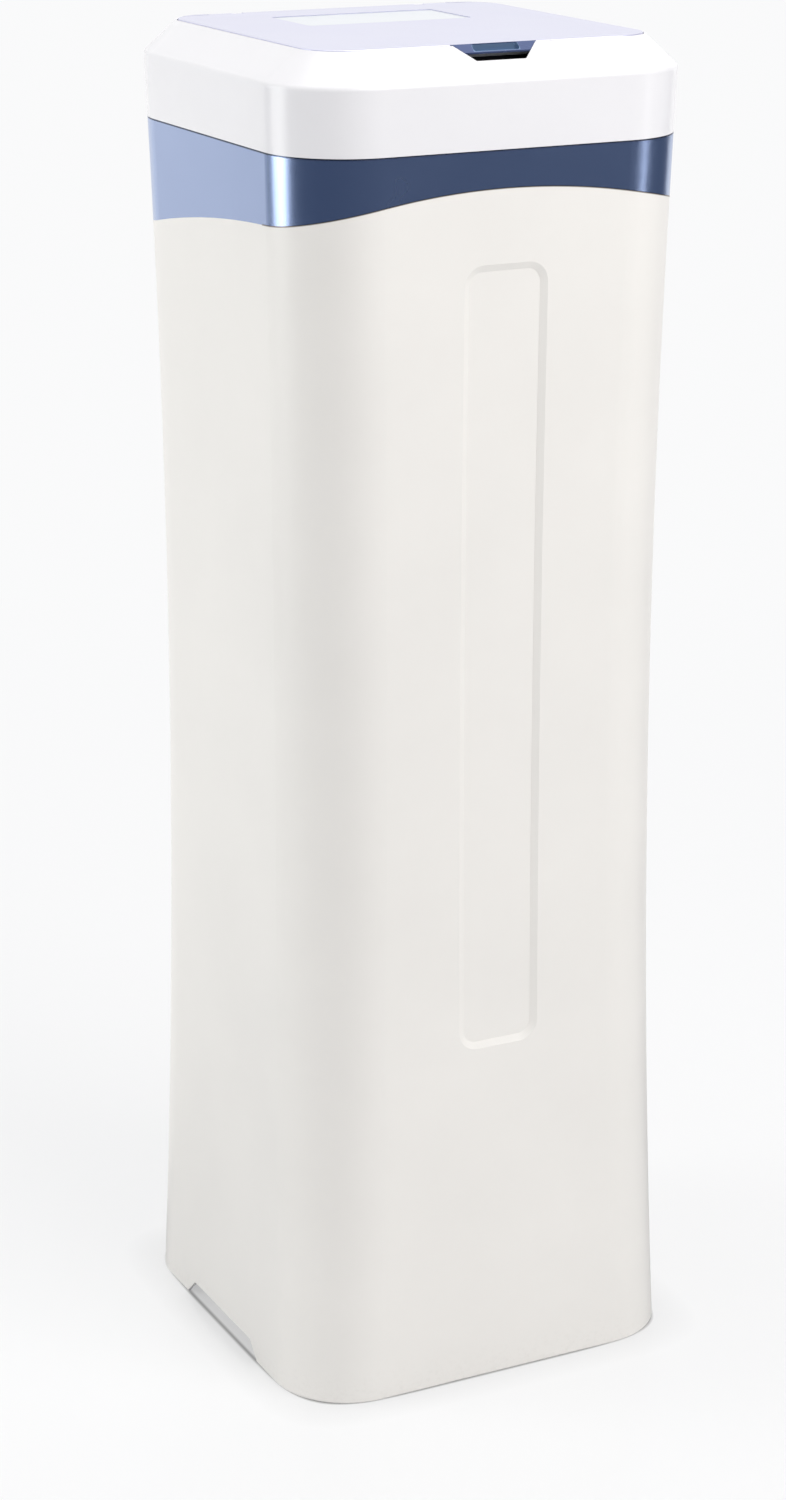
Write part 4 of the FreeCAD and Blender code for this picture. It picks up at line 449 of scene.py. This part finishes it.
def paper_floor():
    """White paper that keeps a soft shadow near the object, with a painted contact shadow around and under the
    base; the room's floor in front of it stays dark in reflections."""
    shader = Shader("floor_white")
    x, y = shader.axes()[:2]
    radius = shader.length(x, y)
    away = shader.spread(radius, 0.0, 1.0, 0.75, 2.4)

    lit = shader.add("ShaderNodeBsdfPrincipled")
    lit.inputs["Base Color"].default_value = (0.93, 0.93, 0.935, 1.0)
    shader.feed(lit.inputs["Roughness"], shader.spread(shader.noise(14.0), 0.34, 0.44))
    shader.feed(lit.inputs["Normal"], shader.bump(shader.noise(240.0), 0.00006, 0.3))

    near_lit = shader.add("ShaderNodeBsdfPrincipled")
    # Painted shadow: the floor's colour and glow are darkened near and under the base.
    shade = contact_shade(shader, x, y)
    shader.feed(near_lit.inputs["Base Color"], shader.mix(shade, (0.1, 0.095, 0.09), (0.36, 0.36, 0.362)))
    near_lit.inputs["Specular IOR Level"].default_value = 0.22
    shader.feed(near_lit.inputs["Roughness"], shader.spread(shader.noise(14.0), 0.2, 0.26))
    near_glow = shader.add("ShaderNodeEmission")
    near_glow.inputs["Color"].default_value = PAPER_COLOR
    shader.feed(near_glow.inputs["Strength"], shader.math("MULTIPLY", shade, 0.57))
    near = shader.add("ShaderNodeAddShader")
    shader.link(near_lit.outputs[0], near.inputs[0])
    shader.link(near_glow.outputs[0], near.inputs[1])

    far = shader.add("ShaderNodeEmission")
    far.inputs["Color"].default_value = PAPER_COLOR
    far.inputs["Strength"].default_value = PAPER_WHITE
    seen = shader.blend(away, near, far)

    room = shader.add("ShaderNodeEmission")
    room.inputs["Color"].default_value = ROOM_COLOR
    behind = shader.lit_room(shader.math("DIVIDE", x, radius), shader.math("DIVIDE", y, radius))
    mirrored = shader.blend(behind, room, seen)
    reflected = shader.blend(ray_is(shader.tree, "Is Glossy Ray"), lit, mirrored)
    shown = shader.blend(ray_is(shader.tree, "Is Camera Ray", "Is Transmission Ray"), reflected, seen)
    shader.link(shown.outputs[0], shader.output.inputs["Surface"])
    return shader.material


floor_rows = [[(side * FLOOR_REACH, end * FLOOR_REACH, 0.0) for side in (-1, 1)] for end in (-1, 1)]
floor = sheet_mesh("floor", floor_rows)
floor.data.materials.append(paper_floor())


def studio_world():
    """Even light all round; in reflections white above and behind, and the dark room low in front."""
    scene.world = bpy.data.worlds.new("world")
    sky = Shader("world", scene.world)
    x, y, z = sky.axes()
    bright = sky.math("MAXIMUM", sky.lit_room(x, y), sky.spread(z, 0.0, 1.0, 0.35, 0.6))
    light = {}
    for role, color, strength in (
        ("fill", (0.985, 0.99, 1.0), 0.5),
        ("paper", PAPER_COLOR[:3], PAPER_WHITE),
        ("room", ROOM_COLOR[:3], 1.0),
    ):
        light[role] = sky.add("ShaderNodeBackground")
        sky.feed(light[role].inputs["Color"], color)
        light[role].inputs["Strength"].default_value = strength
    mirrored = sky.blend(bright, light["room"], light["paper"])
    reflected = sky.blend(ray_is(sky.tree, "Is Glossy Ray"), light["fill"], mirrored)
    seen = sky.blend(ray_is(sky.tree, "Is Camera Ray", "Is Transmission Ray"), reflected, light["paper"])
    sky.link(seen.outputs[0], sky.output.inputs["Surface"])


studio_world()


def softbox(name, place, aim, width, height, power, tint=(1.0, 1.0, 1.0)):
    light = bpy.data.lights.new(name, "AREA")
    light.shape = "RECTANGLE"
    light.size = width
    light.size_y = height
    light.energy = power
    light.color = tint
    item = bpy.data.objects.new(name, light)
    item.location = place
    item.rotation_euler = (Vector(aim) - Vector(place)).to_track_quat("-Z", "Y").to_euler()
    item.visible_camera = False
    scene.collection.objects.link(item)
    return item


softbox("strip_right", (1.94, -1.5, 0.9), (0.0, 0.0, 0.6), 0.4, 2.2, 3.6)
softbox("strip_left", (-2.25, 1.0, 0.9), (0.0, 0.0, 0.6), 0.55, 2.2, 5.2)
softbox("key", (0.9, -2.2, 2.8), (0.0, 0.0, 0.95), 2.2, 1.6, 50.0, (1.0, 0.99, 0.982))
softbox("top", (-0.2, 0.1, 3.0), (0.0, 0.0, 1.0), 1.6, 1.6, 12.0)
softbox("side", (-2.4, 1.2, 1.2), (0.0, 0.0, 0.35), 1.5, 1.8, 21.0, (0.985, 1.0, 0.985))
